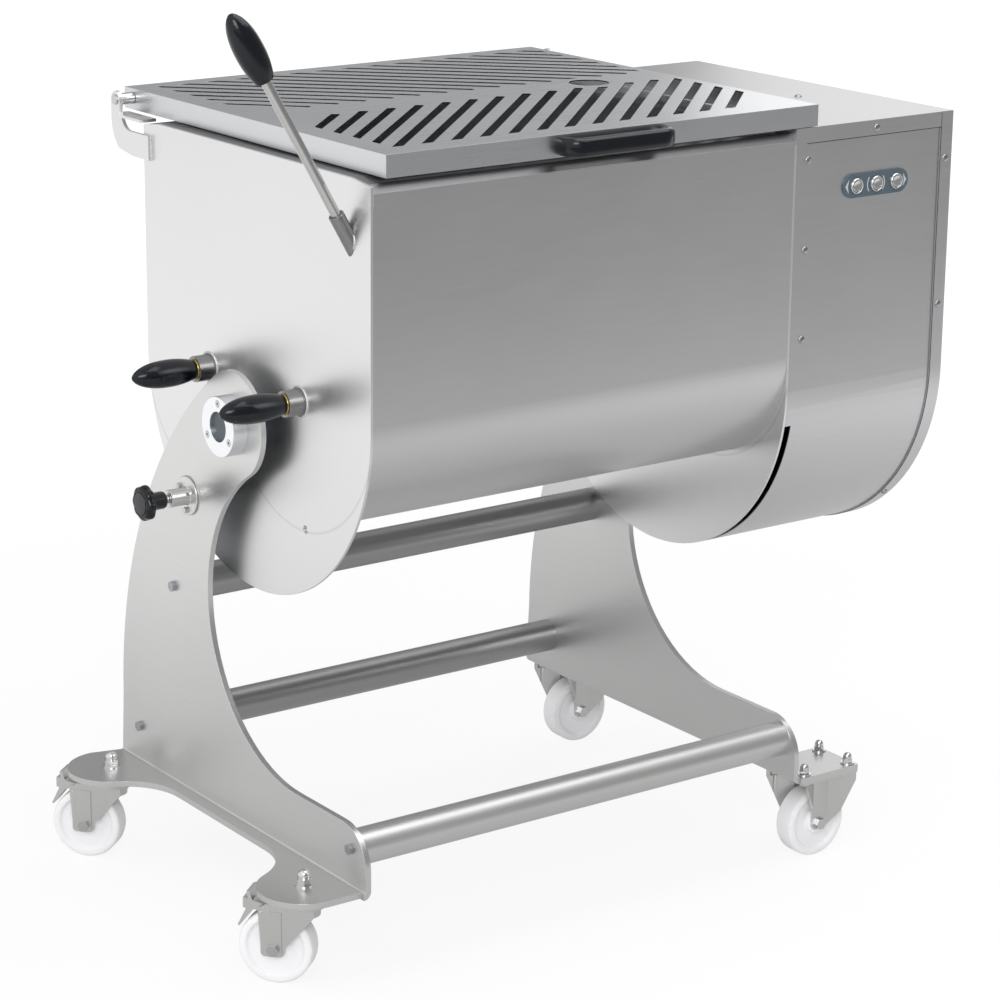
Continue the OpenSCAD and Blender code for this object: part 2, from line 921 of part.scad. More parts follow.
// One slot at 45 degrees, round at the spine end, running past the window at the other end
module slot_strip(x, len) {
    translate([x, 0])
        rotate(45) {
            translate([-len, -slot_w / 2]) square([len, slot_w]);
            circle(slot_w / 2, $fn = 32);
        }
}

// Front row: x is where each slot ends at the spine
module front_slots() {
    deep = spine_y - spine_w / 2 - slot_front_y;
    last = ceil((slot_right - slot_left + deep) / slot_pitch);
    intersection() {
        translate([slot_left, slot_front_y]) square([slot_right - slot_left, deep + slot_w]);
        translate([0, spine_y - spine_w / 2])
            for (i = [0:last - 5]) slot_strip(slot_left + front_phase + i * slot_pitch, 1.5 * deep);
    }
}

module back_slots() {
    deep = slot_back_y - spine_y - spine_w / 2;
    last = ceil((slot_right - slot_left + deep) / slot_pitch);
    intersection() {
        translate([slot_left, spine_y + spine_w / 2 - slot_w])
            square([slot_right - slot_left, deep + slot_w]);
        translate([0, spine_y + spine_w / 2])
            mirror([0, 1])
                for (i = [0:last - 3]) slot_strip(slot_left + back_phase + i * slot_pitch, 1.5 * deep);
    }
}

module lid_panel() {
    place() color(steel)
        difference() {
            translate([lid_x, lid_front, lid_z]) cube([lid_end - lid_x, lid_back - lid_front, skirt]);
            translate([lid_x + lid_t, lid_front + lid_t, lid_z - 1])
                cube([lid_end - lid_x - 2 * lid_t, lid_back - lid_front - 2 * lid_t, skirt - lid_t + 1]);
            translate([0, 0, lid_top - lid_t - 1])
                linear_extrude(lid_t + 2) {
                    difference() {
                        union() {
                            front_slots();
                            back_slots();
                        }
                        translate([peep_x, peep_y]) circle(peep_d / 2 + 13);
                    }
                    translate([peep_x, peep_y]) circle(peep_d / 2);
                }
            bar_x(lid_x - 1, lid_end - lid_x + 2, hinge_y, hinge_z, hinge_r + fit, 32);
        }
}

module rounded(w, h, r) {
    for (x = [r, w - r], y = [r, h - r]) translate([x, y]) circle(r, $fn = 32);
    translate([r, 0]) square([w - 2 * r, h]);
    translate([0, r]) square([w, h - 2 * r]);
}

handle_h = 24;

module lid_handle() {
    post = 28;
    place() color(black)
        translate([(lid_x + lid_end - handle_len) / 2, lid_front - handle_off, 0])
            translate([0, 0, lid_z + (skirt - handle_h) / 2])
                linear_extrude(handle_h)
                    intersection() {
                        difference() {
                            rounded(handle_len, 2 * handle_off, 20);
                            translate([post, 14]) rounded(handle_len - 2 * post, 2 * handle_off, 8);
                        }
                        square([handle_len, handle_off]);
                    }
}

// Agitators: a shaft with flat arms and slanted blades cut to the trough's radius
paddle_pitch = trough_len / paddles;
paddle_r = lobe_in - tip_gap;
blade_w = 52;
blade_t = 6;
blade_root = 96;

module paddle() {
    translate([-5, -12, 0]) cube([10, 24, blade_root + 14]);
    intersection() {
        rotate([0, 0, 45]) translate([-blade_t / 2, -blade_w / 2, blade_root]) cube([blade_t, blade_w, 80]);
        rotate([0, 90, 0]) cylinder(h = 200, r = paddle_r, center = true);
    }
}

module agitator(s, first, far_end) {
    place() color(bright)
        difference() {
            translate([0, s * shaft_y, shaft_z]) {
                bar_x(shaft_start, far_end - shaft_start, 0, 0, shaft_d / 2);
                for (i = [0:paddles - 1])
                    translate([first + i * paddle_pitch, 0, 0]) rotate([90 * i * s, 0, 0]) paddle();
            }
            bar_x(shaft_start - 1, release_reach + 4, s * shaft_y, shaft_z, pin_d / 2);
        }
}

module front_agitator() { agitator(-1, trough_x + 30, front_shaft_end); }
module rear_agitator() { agitator(1, trough_x + 30 + paddle_pitch / 2, rear_shaft_end); }

// Involute spur gear, a tooth on +x when phase is 0
pressure = 20;

function involute(a) = tan(a) * 180 / PI - a;

function flank(r, rb, rp, half) = half + involute(pressure) - involute(acos(min(1, rb / r)));

module gear_outline(teeth, phase) {
    rp = gear_m * teeth / 2;
    rb = rp * cos(pressure);
    root = rp - 1.25 * gear_m;
    tip = rp + gear_m;
    half = 90 / teeth - 0.16;
    radii = [max(root, rb), rp, tip];
    rotate(phase)
        polygon([for (i = [0:teeth - 1], p = [
            [root, -flank(radii[0], rb, rp, half)],
            [radii[1], -flank(radii[1], rb, rp, half)],
            [radii[2], -flank(radii[2], rb, rp, half)],
            [radii[2], flank(radii[2], rb, rp, half)],
            [radii[1], flank(radii[1], rb, rp, half)],
            [root, flank(radii[0], rb, rp, half)]])
            p[0] * [cos(i * 360 / teeth + p[1]), sin(i * 360 / teeth + p[1])]]);
}

module gear(s) {
    place() color(grey)
        along_x(gear_x, gear_w)
            translate([s * shaft_y, shaft_z])
                difference() {
                    gear_outline(gear_teeth, s > 0 ? 180 + 180 / gear_teeth : 0);
                    circle(shaft_d / 2 + fit);
                }
}

module front_gear() { gear(-1); }
module rear_gear() { gear(1); }

// Dome nut with washer, standing on z = 0
module dome_nut(r) {
    hex_h = 0.75 * r;
    dome_z = 2 + 1.15 * r;
    cylinder(h = 2, r = r + 2.5, $fn = 32);
    translate([0, 0, 2]) cylinder(h = hex_h, r = r, $fn = 6);
    translate([0, 0, 2 + hex_h]) cylinder(h = dome_z - hex_h - 2, r = 0.85 * r, $fn = 32);
    translate([0, 0, dome_z]) sphere(r = 0.85 * r, $fn = 32);
}

// Stems of the swivel casters with their dome nuts
module caster_cap_nuts() {
    place() color(bright)
        for (p = [front_swivel, rear_swivel])
            translate([p[0], p[1], 0]) {
                translate([0, 0, foot_z]) dome_nut(10);
                translate([0, 0, crown_z - 6]) cylinder(h = foot_z - crown_z + 8, r = 6);
                translate([0, 0, crown_z - 6]) cylinder(h = 6 - air, r = 10);
            }
}

crown_z = 110;
crown_r = 31;

// Everything of a swivel caster is drawn with its trail along +x and turned to its rest direction
module on_swivel(p) {
    place() translate([p[0], p[1], 0]) rotate([0, 0, swivel_at]) children();
}

leg_back = trail + 17;

// Outline of a fork leg: straight back edge, round foot, front edge slanting up to the crown
module fork_side() {
    toe = 9;
    polygon(concat(
        [[-20, crown_z + 2], [-20, crown_z - 10], [trail - 22, axle_z + 12]],
        arc([trail - 7, axle_z - 1], toe, 160, 270, 6),
        arc([leg_back - toe, axle_z - 1], toe, 270, 360, 6),
        [[pedal_at[0] + 6, crown_z - 6], [trail + 10, crown_z + 2]]));
}

// Pressed band that stands proud of a fork leg, from the crown down to below the axle
module leg_band(x, w) {
    corner = 6;
    low = axle_z - 10;
    for (i = [corner, w - corner]) translate([x + i, low + corner]) circle(corner, $fn = 24);
    translate([x + corner, low]) square([w - 2 * corner, corner]);
    translate([x, low + corner]) square([w, crown_z - 8 - low - corner]);
}

module swivel_fork(p) {
    color(steel)
        on_swivel(p)
            difference() {
                union() {
                    translate([0, 0, crown_z]) cylinder(h = 5, r = crown_r);
                    translate([0, 0, crown_z]) cylinder(h = foot_under - crown_z - air, r = 24);
                    for (m = [0, 1])
                        mirror([0, m, 0]) {
                            translate([0, fork_out, 0])
                                rotate([90, 0, 0])
                                    linear_extrude(fork_t) fork_side();
                            translate([0, fork_out + proud, 0])
                                rotate([90, 0, 0])
                                    linear_extrude(proud + 1) leg_band(leg_back - band_w, band_w);
                        }
                    intersection() {
                        difference() {
                            translate([0, 0, crown_z - apron]) cylinder(h = apron + 1, r = fork_out);
                            translate([0, 0, crown_z - apron - 1]) cylinder(h = apron + 1, r = fork_in);
                        }
                        translate([-60, -30, 0]) cube([60, 60, 200]);
                    }
                }
                translate([0, 0, crown_z - 40]) cylinder(h = 80, r = 6 + fit);
                translate([trail, 0, axle_z])
                    rotate([90, 0, 0])
                        cylinder(h = 80, r = axle_r + fit, center = true, $fn = 32);
                translate([pedal_at[0], 0, pedal_at[1]])
                    rotate([90, 0, 0])
                        cylinder(h = 80, r = 3 + fit, center = true, $fn = 32);
            }
}

apron = 14;
pedal_at = [trail + 15, crown_z - 7];

module front_swivel_fork() { swivel_fork(front_swivel); }
module rear_swivel_fork() { swivel_fork(rear_swivel); }

// Axle bolt along y between two faces, a hexagon on each end
module axle_bolt(side) {
    head = 5;
    rotate([90, 0, 0]) {
        cylinder(h = 2 * side, r = axle_r, center = true, $fn = 32);
        for (s = [-1, 1])
            translate([0, 0, s * (side + head / 2)]) cylinder(h = head, r = 8.5, center = true, $fn = 6);
    }
}

module swivel_axle(p) {
    color(bright) on_swivel(p) translate([trail, 0, axle_z]) axle_bolt(fork_out + proud);
}

module front_swivel_axle() { swivel_axle(front_swivel); }
module rear_swivel_axle() { swivel_axle(rear_swivel); }

// Brake pedal: body behind the fork, horn above, tongue beside the tread, on its own cross pin
module brake_pedal(p) {
    u = pedal_at[0];
    w = pedal_at[1];
    color(grey)
        on_swivel(p) {
            translate([0, 15, 0])
                rotate([90, 0, 0])
                    linear_extrude(30)
                        polygon([
                            [u - 5, w + 4],
                            [u + 15, w + 9],
                            [u + 19, w + 22],
                            [u + 23, w + 21],
                            [u + 21, w + 11],
                            [u + 28, w + 12],
                            [u + 28, w - 1.5],
                            [u + 24, w - 3],
                            [u + 35.5, w - 27],
                            [u + 33, w - 28],
                            [u + 14, w - 3.5],
                            [u - 4, w - 2.5]]);
            translate([u, 0, w])
                rotate([90, 0, 0])
                    cylinder(h = 2 * fork_out, r = 3, center = true, $fn = 32);
        }
}

module front_brake_pedal() { brake_pedal(front_swivel); }
module rear_brake_pedal() { brake_pedal(rear_swivel); }

// Wheel about the y axis: tread, dished web, hub
module wheel() {
    r = wheel_d / 2;
    h = wheel_w / 2;
    hub = fork_in - air;
    rotate([90, 0, 0])
        rotate_extrude($fn = 72)
            polygon([
                [axle_r + fit, -hub], [15, -hub], [17, 6 - h], [r - 13, 4 - h],
                [r - 10, -h], [r - 3, -h], [r, 3 - h],
                [r, h - 3], [r - 3, h], [r - 10, h],
                [r - 13, h - 4], [17, h - 6], [15, hub], [axle_r + fit, hub]]);
}

module left_front_wheel() { color(white) on_swivel(front_swivel) translate([trail, 0, axle_z]) wheel(); }
module left_rear_wheel() { color(white) on_swivel(rear_swivel) translate([trail, 0, axle_z]) wheel(); }
module right_front_wheel() { place() color(white) translate([fixed_x, -fixed_y, axle_z]) wheel(); }
module right_rear_wheel() { place() color(white) translate([fixed_x, fixed_y, axle_z]) wheel(); }

// Fixed fork: plate, and two legs that are the same part turned round. Each leg is a flat band
// with a wide wing and a narrow wing that flare outwards to the plate's edge.
wing_flare = 30;

module leg_wing(outline) {
    translate([band_w / 2, -fork_in, 0])
        rotate([0, 0, -wing_flare])
            rotate([90, 0, 0])
                linear_extrude(fork_t) polygon(outline);
}

module fixed_leg() {
    half = band_w / 2;
    top = foot_under - 3;
    low = axle_z - 8;
    wide = (plate_x / 2 - half) / cos(wing_flare) - 1;
    narrow = 0.8 * wide;
    translate([0, -fork_in, 0])
        rotate([90, 0, 0])
            linear_extrude(fork_t)
                polygon(concat(
                    [[half, top], [-half, top]],
                    arc([8 - half, axle_z], 8, 180, 270, 6),
                    arc([half - 8, axle_z], 8, 270, 360, 6)));
    leg_wing([
        [0, top],
        [0, low + 4],
        [4, low + 7],
        [20, axle_z + 15],
        [wide, top - 12],
        [wide, top]]);
    mirror([1, 0, 0]) leg_wing([[0, top], [0, axle_z + 24], [narrow, top - 3], [narrow, top]]);
}

module fixed_fork(y) {
    place() color(steel)
        translate([fixed_x, y, 0])
            difference() {
                union() {
                    translate([-plate_x / 2, -plate_y / 2, foot_under - 4]) cube([plate_x, plate_y, 4]);
                    for (a = [0, 180]) rotate([0, 0, a]) fixed_leg();
                }
                translate([0, 0, axle_z])
                    rotate([90, 0, 0])
                        cylinder(h = 80, r = axle_r + fit, center = true, $fn = 32);
                // Bolt holes, and room for the bolt heads beside the flared wings
                for (x = [-1, 1], s = [-1, 1])
                    translate([x * bolt_x / 2, s * bolt_y / 2, 0]) {
                        cylinder(h = 200, r = 4.2, $fn = 24);
                        translate([0, 0, foot_under - 14]) cylinder(h = 10, r = 7.5, $fn = 24);
                    }
            }
}

module front_fixed_fork() { fixed_fork(-fixed_y); }
module rear_fixed_fork() { fixed_fork(fixed_y); }

// Plate bolts with dome nuts, and the axles of the fixed casters
module fixed_caster_bolts() {
    place() color(bright)
        for (y = [-fixed_y, fixed_y])
            translate([fixed_x, y, 0]) {
                for (x = [-1, 1], s = [-1, 1])
                    translate([x * bolt_x / 2, s * bolt_y / 2, 0]) {
                        translate([0, 0, foot_z]) dome_nut(7);
                        translate([0, 0, foot_under - 8]) cylinder(h = leg_t + 9, r = 4, $fn = 24);
                        translate([0, 0, foot_under - 8]) cylinder(h = 4, r = 6.5, $fn = 6);
                    }
                translate([0, 0, axle_z]) axle_bolt(fork_out);
            }
}

left_leg();
right_leg();
front_tube();
rear_tube();
upper_tube();
tube_bolts();
left_bearing();
right_bearing();
bearing_screws();
plunger_barrel();
caster_cap_nuts();
front_fixed_fork();
rear_fixed_fork();
fixed_caster_bolts();
left_end_plate();
trough();
tub_rim();
bulkhead();
housing_wrap();
housing_top();
end_cover();
housing_screws();
control_plate();
left_trunnion();
right_trunnion();
gearbox();
motor();
drive_posts();
lever_socket();
lever_rod();
lever_grip();
hinge_brackets();
hinge_pins();
release_bosses();
shaft_bearings();
lid_panel();
lid_handle();
front_agitator();
front_gear();
rear_agitator();
rear_gear();
front_release_pin();
front_release_grip();
rear_release_pin();
rear_release_grip();
start_button();
stop_button();
reverse_button();
plunger_pin();
plunger_knob();
front_swivel_fork();
rear_swivel_fork();
front_swivel_axle();
rear_swivel_axle();
front_brake_pedal();
rear_brake_pedal();
left_front_wheel();
left_rear_wheel();
right_front_wheel();
right_rear_wheel();
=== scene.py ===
# Tilting twin-shaft meat mixer on a stand with casters: the looks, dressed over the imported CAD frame.
# Everything is in metres in the CAD's own frame. at() turns the drawing's millimetres, measured
# from the left leg's outer face, the tilt axis and the floor, into that frame.
import math

import bmesh
import bpy
from mathutils import Matrix, Vector


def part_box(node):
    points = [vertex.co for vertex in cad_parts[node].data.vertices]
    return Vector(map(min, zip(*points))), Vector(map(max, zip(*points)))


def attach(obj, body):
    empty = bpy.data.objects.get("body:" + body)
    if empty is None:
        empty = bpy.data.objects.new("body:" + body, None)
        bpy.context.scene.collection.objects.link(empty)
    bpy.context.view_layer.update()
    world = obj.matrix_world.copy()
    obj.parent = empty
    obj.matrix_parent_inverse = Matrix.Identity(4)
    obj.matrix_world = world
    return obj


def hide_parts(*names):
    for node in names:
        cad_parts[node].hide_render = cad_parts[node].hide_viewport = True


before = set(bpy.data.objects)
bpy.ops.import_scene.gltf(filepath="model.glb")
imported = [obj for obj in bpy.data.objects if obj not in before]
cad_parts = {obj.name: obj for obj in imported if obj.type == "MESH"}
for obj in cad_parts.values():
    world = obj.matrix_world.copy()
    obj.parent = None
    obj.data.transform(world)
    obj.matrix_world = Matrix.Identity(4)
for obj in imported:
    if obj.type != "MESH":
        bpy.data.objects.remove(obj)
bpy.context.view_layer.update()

# Camera: a long lens in front of the left leg, a little above the lid, looking down 16 degrees.
# The shift moves the view so that the machine sits in the frame as it was photographed.
scene = bpy.context.scene
scene.view_settings.view_transform = "Standard"
camera = bpy.data.objects.new("camera", bpy.data.cameras.new("camera"))
scene.collection.objects.link(camera)
camera.location = (-2.4690, -3.4224, 1.7405)
sight = Vector((0.5401, 0.7952, -0.2756)).normalized()
roll = Matrix.Rotation(math.radians(0.11), 3, "Z")
camera.rotation_euler = (sight.to_track_quat("-Z", "Y").to_matrix() @ roll).to_euler()
camera.data.lens = 113.4
camera.data.sensor_width = 36
camera.data.shift_x = 0.0986
camera.data.shift_y = -0.0177
camera.data.clip_end = 60
scene.camera = camera


# Studio: a pale floor, a white surround, and soft panels as in a product set.
# The room is bright behind the machine and dim in front of it, which the brushed sheets mirror.
class Tone:
    """A shader socket that takes Python's operators; each one adds its Math node."""

    def __init__(self, wiring, socket):
        self.wiring = wiring
        self.socket = socket

    def math(self, operation, *values):
        return self.wiring.node("ShaderNodeMath", {"operation": operation}, *values)

    def __add__(self, other):
        return self.math("ADD", self, other)

    def __sub__(self, other):
        return self.math("SUBTRACT", self, other)

    def __mul__(self, other):
        return self.math("MULTIPLY", self, other)

    def __gt__(self, other):
        return self.math("GREATER_THAN", self, other)

    def __lt__(self, other):
        return self.math("LESS_THAN", self, other)

    __radd__ = __add__
    __rmul__ = __mul__


class Wiring:
    """Adds nodes to a tree. Settings come first, then values or links, in order or by name."""

    def __init__(self, tree):
        self.tree = tree
        tree.nodes.clear()

    def feed(self, socket, value):
        if isinstance(value, Tone):
            self.tree.links.new(value.socket, socket)
        elif socket.type == "RGBA" and len(value) == 3:
            socket.default_value = (*value, 1)
        else:
            socket.default_value = value

    def node(self, kind, settings, *values, out=None, **named):
        made = self.tree.nodes.new(kind)
        for key, value in settings.items():
            setattr(made, key, value)
        for socket, value in zip([s for s in made.inputs if s.enabled], values):
            self.feed(socket, value)
        for key, value in named.items():
            self.feed(made.inputs[key.replace("_", " ")], value)
        shown = [o for o in made.outputs if o.enabled]
        return Tone(self, made.outputs[out] if out else shown[0]) if shown else made

    def blend(self, factor, low, high):
        return self.node("ShaderNodeMix", {"data_type": "RGBA"}, factor, low, high)

    def ease(self, value, start, end, low=0.0, high=1.0):
        return self.node("ShaderNodeMapRange", {"interpolation_type": "SMOOTHSTEP"},
                         value, start, end, low, high)


def new_finish(name):
    """A new material, its wiring, and the place on the piece that its patterns follow."""
    made = bpy.data.materials.new(name)
    made.use_nodes = True
    wiring = Wiring(made.node_tree)
    return made, wiring, wiring.node("ShaderNodeTexCoord", {}, out="Object")


surround = bpy.data.worlds.new("surround")
surround.use_nodes = True
scene.world = surround
sky = Wiring(surround.node_tree)
gaze = sky.node("ShaderNodeTexCoord", {}, out="Generated")
gaze = sky.node("ShaderNodeVectorMath", {"operation": "NORMALIZE"}, gaze)
aim = sky.node("ShaderNodeSeparateXYZ", {}, gaze).socket.node
leftward = Tone(sky, aim.outputs["X"]) * -1
upward = Tone(sky, aim.outputs["Z"])
glow = 0.33 + sky.ease(leftward, 0.1, 0.8, 0.0, 0.66) + sky.ease(upward, 0.45, 0.95, 0.0, 0.4)
direct = sky.node("ShaderNodeLightPath", {}, out="Is Camera Ray")
room = sky.node("ShaderNodeMixShader", {}, direct,
                sky.node("ShaderNodeBackground", {}, (1, 1, 1), glow),
                sky.node("ShaderNodeBackground", {}, (1, 1, 1), 1.0))
sky.node("ShaderNodeOutputWorld", {}, room)

floor_edge = 9
floor_mesh = bpy.data.meshes.new("studio_floor")
floor_mesh.from_pydata([(-floor_edge, -floor_edge, 0), (floor_edge, -floor_edge, 0),
                        (floor_edge, floor_edge, 0), (-floor_edge, floor_edge, 0)], [], [(0, 1, 2, 3)])
floor = bpy.data.objects.new("studio_floor", floor_mesh)
scene.collection.objects.link(floor)
floor_paper, paper, floor_place = new_finish("studio_paper")
depth = paper.node("ShaderNodeSeparateXYZ", {}, floor_place, out="Y")
away = paper.node("ShaderNodeVectorMath", {"operation": "LENGTH"}, floor_place, out="Value")
matt = paper.node("ShaderNodeBsdfDiffuse", {}, (0.86, 0.86, 0.86))
thin = paper.node("ShaderNodeBsdfDiffuse", {}, (0.14, 0.14, 0.14))
bright = paper.ease(away, 1.3, 4.0, 0.86, 1.0)
lit = paper.node("ShaderNodeAddShader", {}, thin,
                 paper.node("ShaderNodeEmission", {}, (1, 1, 1), bright))
# Painted shade in what the sheets mirror: the floor's glow dims in front and near the machine, where its
# shadow falls.
mirrored_floor_shade = paper.ease(depth, -3.0, -1.0, 0.24, 1.0) * paper.ease(away, 0.35, 2.6, 0.46, 0.97)
mirrored = paper.node("ShaderNodeAddShader", {}, thin,
                      paper.node("ShaderNodeEmission", {}, (1, 1, 1), mirrored_floor_shade))
seen = paper.node("ShaderNodeLightPath", {}, out="Is Camera Ray")
glossy = paper.node("ShaderNodeLightPath", {}, out="Is Glossy Ray")
under = paper.node("ShaderNodeMixShader", {}, glossy, matt, mirrored)
paper.node("ShaderNodeOutputMaterial", {}, paper.node("ShaderNodeMixShader", {}, seen, under, lit))
floor_mesh.materials.append(floor_paper)


def soft_panel(name, place, target, wide, tall, strength):
    """An area lamp that shines like a lit white card of that brightness."""
    lamp = bpy.data.objects.new(name, bpy.data.lights.new(name, "AREA"))
    scene.collection.objects.link(lamp)
    lamp.location = place
    lamp.rotation_euler = (Vector(target) - Vector(place)).to_track_quat("-Z", "Y").to_euler()
    lamp.data.shape = "RECTANGLE"
    lamp.data.size = wide
    lamp.data.size_y = tall
    lamp.data.energy = strength * math.pi * wide * tall
    lamp.visible_camera = False


soft_panel("overhead_panel", (0.9, -0.5, 3.0), (0.3, 0, 0), 3.0, 2.2, 1.7)
soft_panel("key_panel", (-2.6, -3.2, 2.8), (0, 0, 0.4), 1.8, 1.8, 5.0)
soft_panel("back_right_panel", (3.17, 2.08, 2.1), (0.5, 0.0, 1.0), 1.7, 1.8, 0.85)

# Legs: 8 mm stainless plates, laser cut and brushed, each with a foot flange folded outwards.
# The cut edges are broken by hand, so they catch a thin line of light. The left leg's inner
# face is painted dark, as painted shade for the narrow gap between it and the end plate.
plate_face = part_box("left_end_plate")[0].x
pin_low, pin_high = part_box("left_trunnion")
leg_to_plate = 0.033
corner = Vector((plate_face - leg_to_plate, (pin_low.y + pin_high.y) / 2, 0))


def at(x, y, z):
    """A station of the drawing, in mm from the left leg, the tilt axis and the floor."""
    return corner + Vector((x, y, z)) / 1000


def brushed(name, along, dark, pale, rough, scratch, shade_beyond=None, lobes=()):
    """Satin stainless, brushed along x, y or z: fine scratches, and soft clouds of wear.
    Beyond the given station along x the colour is painted dark, as painted shade, and a faint
    heat line shows where a round lobe, given by its side, height and radius, is welded behind."""
    made, steel, place = new_finish(name)
    across_grain, along_grain = 1500.0, 14.0
    stretch = [across_grain] * 3
    stretch["xyz".index(along)] = along_grain
    lines = steel.node("ShaderNodeVectorMath", {"operation": "MULTIPLY"}, place, stretch)
    lines = steel.node("ShaderNodeTexNoise", {}, lines, Scale=1.0, Detail=3.0, Roughness=0.6, out="Fac")
    cloud = steel.node("ShaderNodeTexNoise", {}, place, Scale=5.0, Detail=2.0, Roughness=0.5, out="Fac")
    grain = steel.ease(lines, 0.3, 0.7)
    colour = steel.blend(grain * 0.4 + cloud * 0.6, dark, pale)
    # Painted shade: the steel beyond the station is painted dark.
    if shade_beyond:
        behind = steel.node("ShaderNodeSeparateXYZ", {}, place, out="X") > shade_beyond
        painted_shade = (0.24, 0.25, 0.26)
        colour = steel.blend(behind, colour, painted_shade)
    for side, height, radius in lobes:
        centre = at(0, side, height)
        outward = math.copysign(1, side)
        spoke = steel.node("ShaderNodeVectorMath", {"operation": "SUBTRACT"}, place, centre)
        spoke = steel.node("ShaderNodeVectorMath", {"operation": "MULTIPLY"}, spoke, (0, 1, 1))
        reach = steel.node("ShaderNodeVectorMath", {"operation": "LENGTH"}, spoke, out="Value")
        off = steel.node("ShaderNodeMath", {"operation": "ABSOLUTE"}, reach - radius / 1000)
        parts = steel.node("ShaderNodeSeparateXYZ", {}, place).socket.node
        lower = Tone(steel, parts.outputs["Z"]) < centre.z
        outer = Tone(steel, parts.outputs["Y"]) * outward > outward * corner.y
        tint = steel.ease(off, 0.0005, 0.0028, 0.16, 0.0) * lower * outer
        heat_grey = (0.20, 0.20, 0.20)
        colour = steel.blend(tint, colour, heat_grey)
    bump = steel.node("ShaderNodeBump", {}, Strength=scratch, Distance=0.0002, Height=lines)
    shader = steel.node("ShaderNodeBsdfPrincipled", {}, colour, Metallic=1.0,
                        Roughness=rough + 0.06 * (grain - 0.5) + 0.06 * (cloud - 0.5), Normal=bump)
    steel.node("ShaderNodeOutputMaterial", {}, shader)
    return made


def smooth_by_angle(mesh, limit):
    """Shades a mesh smooth but for the edges that are sharper than that many degrees."""
    for face in mesh.polygons:
        face.use_smooth = True
    mesh.set_sharp_from_angle(angle=math.radians(limit))


def settled(piece, modifier, material):
    """Makes what the modifier shows the piece's own mesh, in one material."""
    ready = bpy.data.meshes.new_from_object(piece.evaluated_get(bpy.context.evaluated_depsgraph_get()))
    piece.modifiers.remove(modifier)
    piece.data = ready
    ready.materials.clear()
    ready.materials.append(material)


def finished(piece, body, slot, *nodes):
    """Hangs a finished piece on its body and hides the CAD nodes that it stands for. The slot is not used.
    """
    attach(piece, body)
    if nodes:
        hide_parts(*nodes)
    return piece


def eased(node, name, body, slot, material, edge, steps=2, sharp=32):
    """The CAD solid's own form with its edges broken or rounded by that many millimetres."""
    same_point, flat_enough, edge_from = 2e-6, math.radians(0.3), math.radians(28)
    form = bmesh.new()
    form.from_mesh(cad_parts[node].data)
    bmesh.ops.remove_doubles(form, verts=form.verts, dist=same_point)
    bmesh.ops.dissolve_limit(form, angle_limit=flat_enough, verts=form.verts, edges=form.edges)
    mesh = bpy.data.meshes.new(name)
    form.to_mesh(mesh)
    form.free()
    smooth_by_angle(mesh, sharp)
    piece = bpy.data.objects.new(name, mesh)
    scene.collection.objects.link(piece)
    bevel = piece.modifiers.new("edge", "BEVEL")
    bevel.width = edge / 1000
    bevel.segments = steps
    bevel.limit_method = "ANGLE"
    bevel.angle_limit = edge_from
    bevel.harden_normals = True
    settled(piece, bevel, material)
    return finished(piece, body, slot, node)


# The left leg's steel is painted dark beyond its inner face, as painted shade.
inner_face = at(7.7, 0, 0).x
leg_steel = brushed("leg_steel", "y", (0.66, 0.66, 0.655), (0.74, 0.74, 0.735), 0.33, 0.04, inner_face)
eased("left_leg", "left_leg_plate", "frame", "brushed_sheet", leg_steel, 0.8)
right_leg_steel = brushed("right_leg_steel", "y", (0.64, 0.64, 0.635), (0.72, 0.72, 0.715), 0.33, 0.04)
eased("right_leg", "right_leg_plate", "frame", "brushed_sheet", right_leg_steel, 0.8)


# Cross tubes: 48 mm round stainless tube between the legs, held by a hexagon bolt into a plug at
# each end. The two behind lie in the machine's shade, which is painted into their steel as a darker colour.
def dress(material, *nodes):
    """Gives CAD nodes that show as they are their finish."""
    for node in nodes:
        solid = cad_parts[node]
        solid.data.materials.clear()
        solid.data.materials.append(material)


def polished(name, dark, pale, rough):
    """Turned or rolled bright steel with faint handling marks."""
    made, steel, place = new_finish(name)
    marks = steel.node("ShaderNodeTexNoise", {}, place, Scale=160.0, Detail=3.0, Roughness=0.6, out="Fac")
    colour = steel.blend(marks, dark, pale)
    bump = steel.node("ShaderNodeBump", {}, Strength=0.03, Distance=0.0003, Height=marks)
    shader = steel.node("ShaderNodeBsdfPrincipled", {}, colour, Metallic=1.0,
                        Roughness=rough + 0.08 * (marks - 0.5), Normal=bump)
    steel.node("ShaderNodeOutputMaterial", {}, shader)
    return made


tube_steel = brushed("tube_steel", "x", (0.66, 0.66, 0.655), (0.72, 0.72, 0.715), 0.40, 0.02)
dress(tube_steel, "front_tube")
# Painted shade: the rear and upper tubes' steel is painted darker.
painted_shade_tube = brushed("painted_shade_tube_steel", "x", (0.36, 0.36, 0.365), (0.42, 0.42, 0.425), 0.38, 0.02)
dress(painted_shade_tube, "rear_tube", "upper_tube")
head_steel = polished("bolt_head_steel", (0.34, 0.35, 0.37), (0.46, 0.47, 0.49), 0.22)
eased("tube_bolts", "tube_bolt_heads", "frame", "bright_steel", head_steel, 0.9)

# Tilt bearings: turned aluminium flanges on both legs, each with three countersunk hexagon-socket
# screws, and the steel trunnion pin of the tub in the middle.
bolt_steel = polished("bolt_steel", (0.50, 0.50, 0.50), (0.64, 0.64, 0.63), 0.20)
bearing_metal = polished("bearing_aluminium", (0.84, 0.85, 0.87), (0.92, 0.93, 0.95), 0.24)
eased("left_bearing", "left_bearing_flange", "frame", "cast_aluminium", bearing_metal, 0.7)
eased("right_bearing", "right_bearing_flange", "frame", "cast_aluminium", bearing_metal, 0.7)
dress(bolt_steel, "bearing_screws")
pin_steel = polished("pin_steel", (0.11, 0.13, 0.15), (0.15, 0.17, 0.19), 0.45)
dress(pin_steel, "left_trunnion", "right_trunnion")


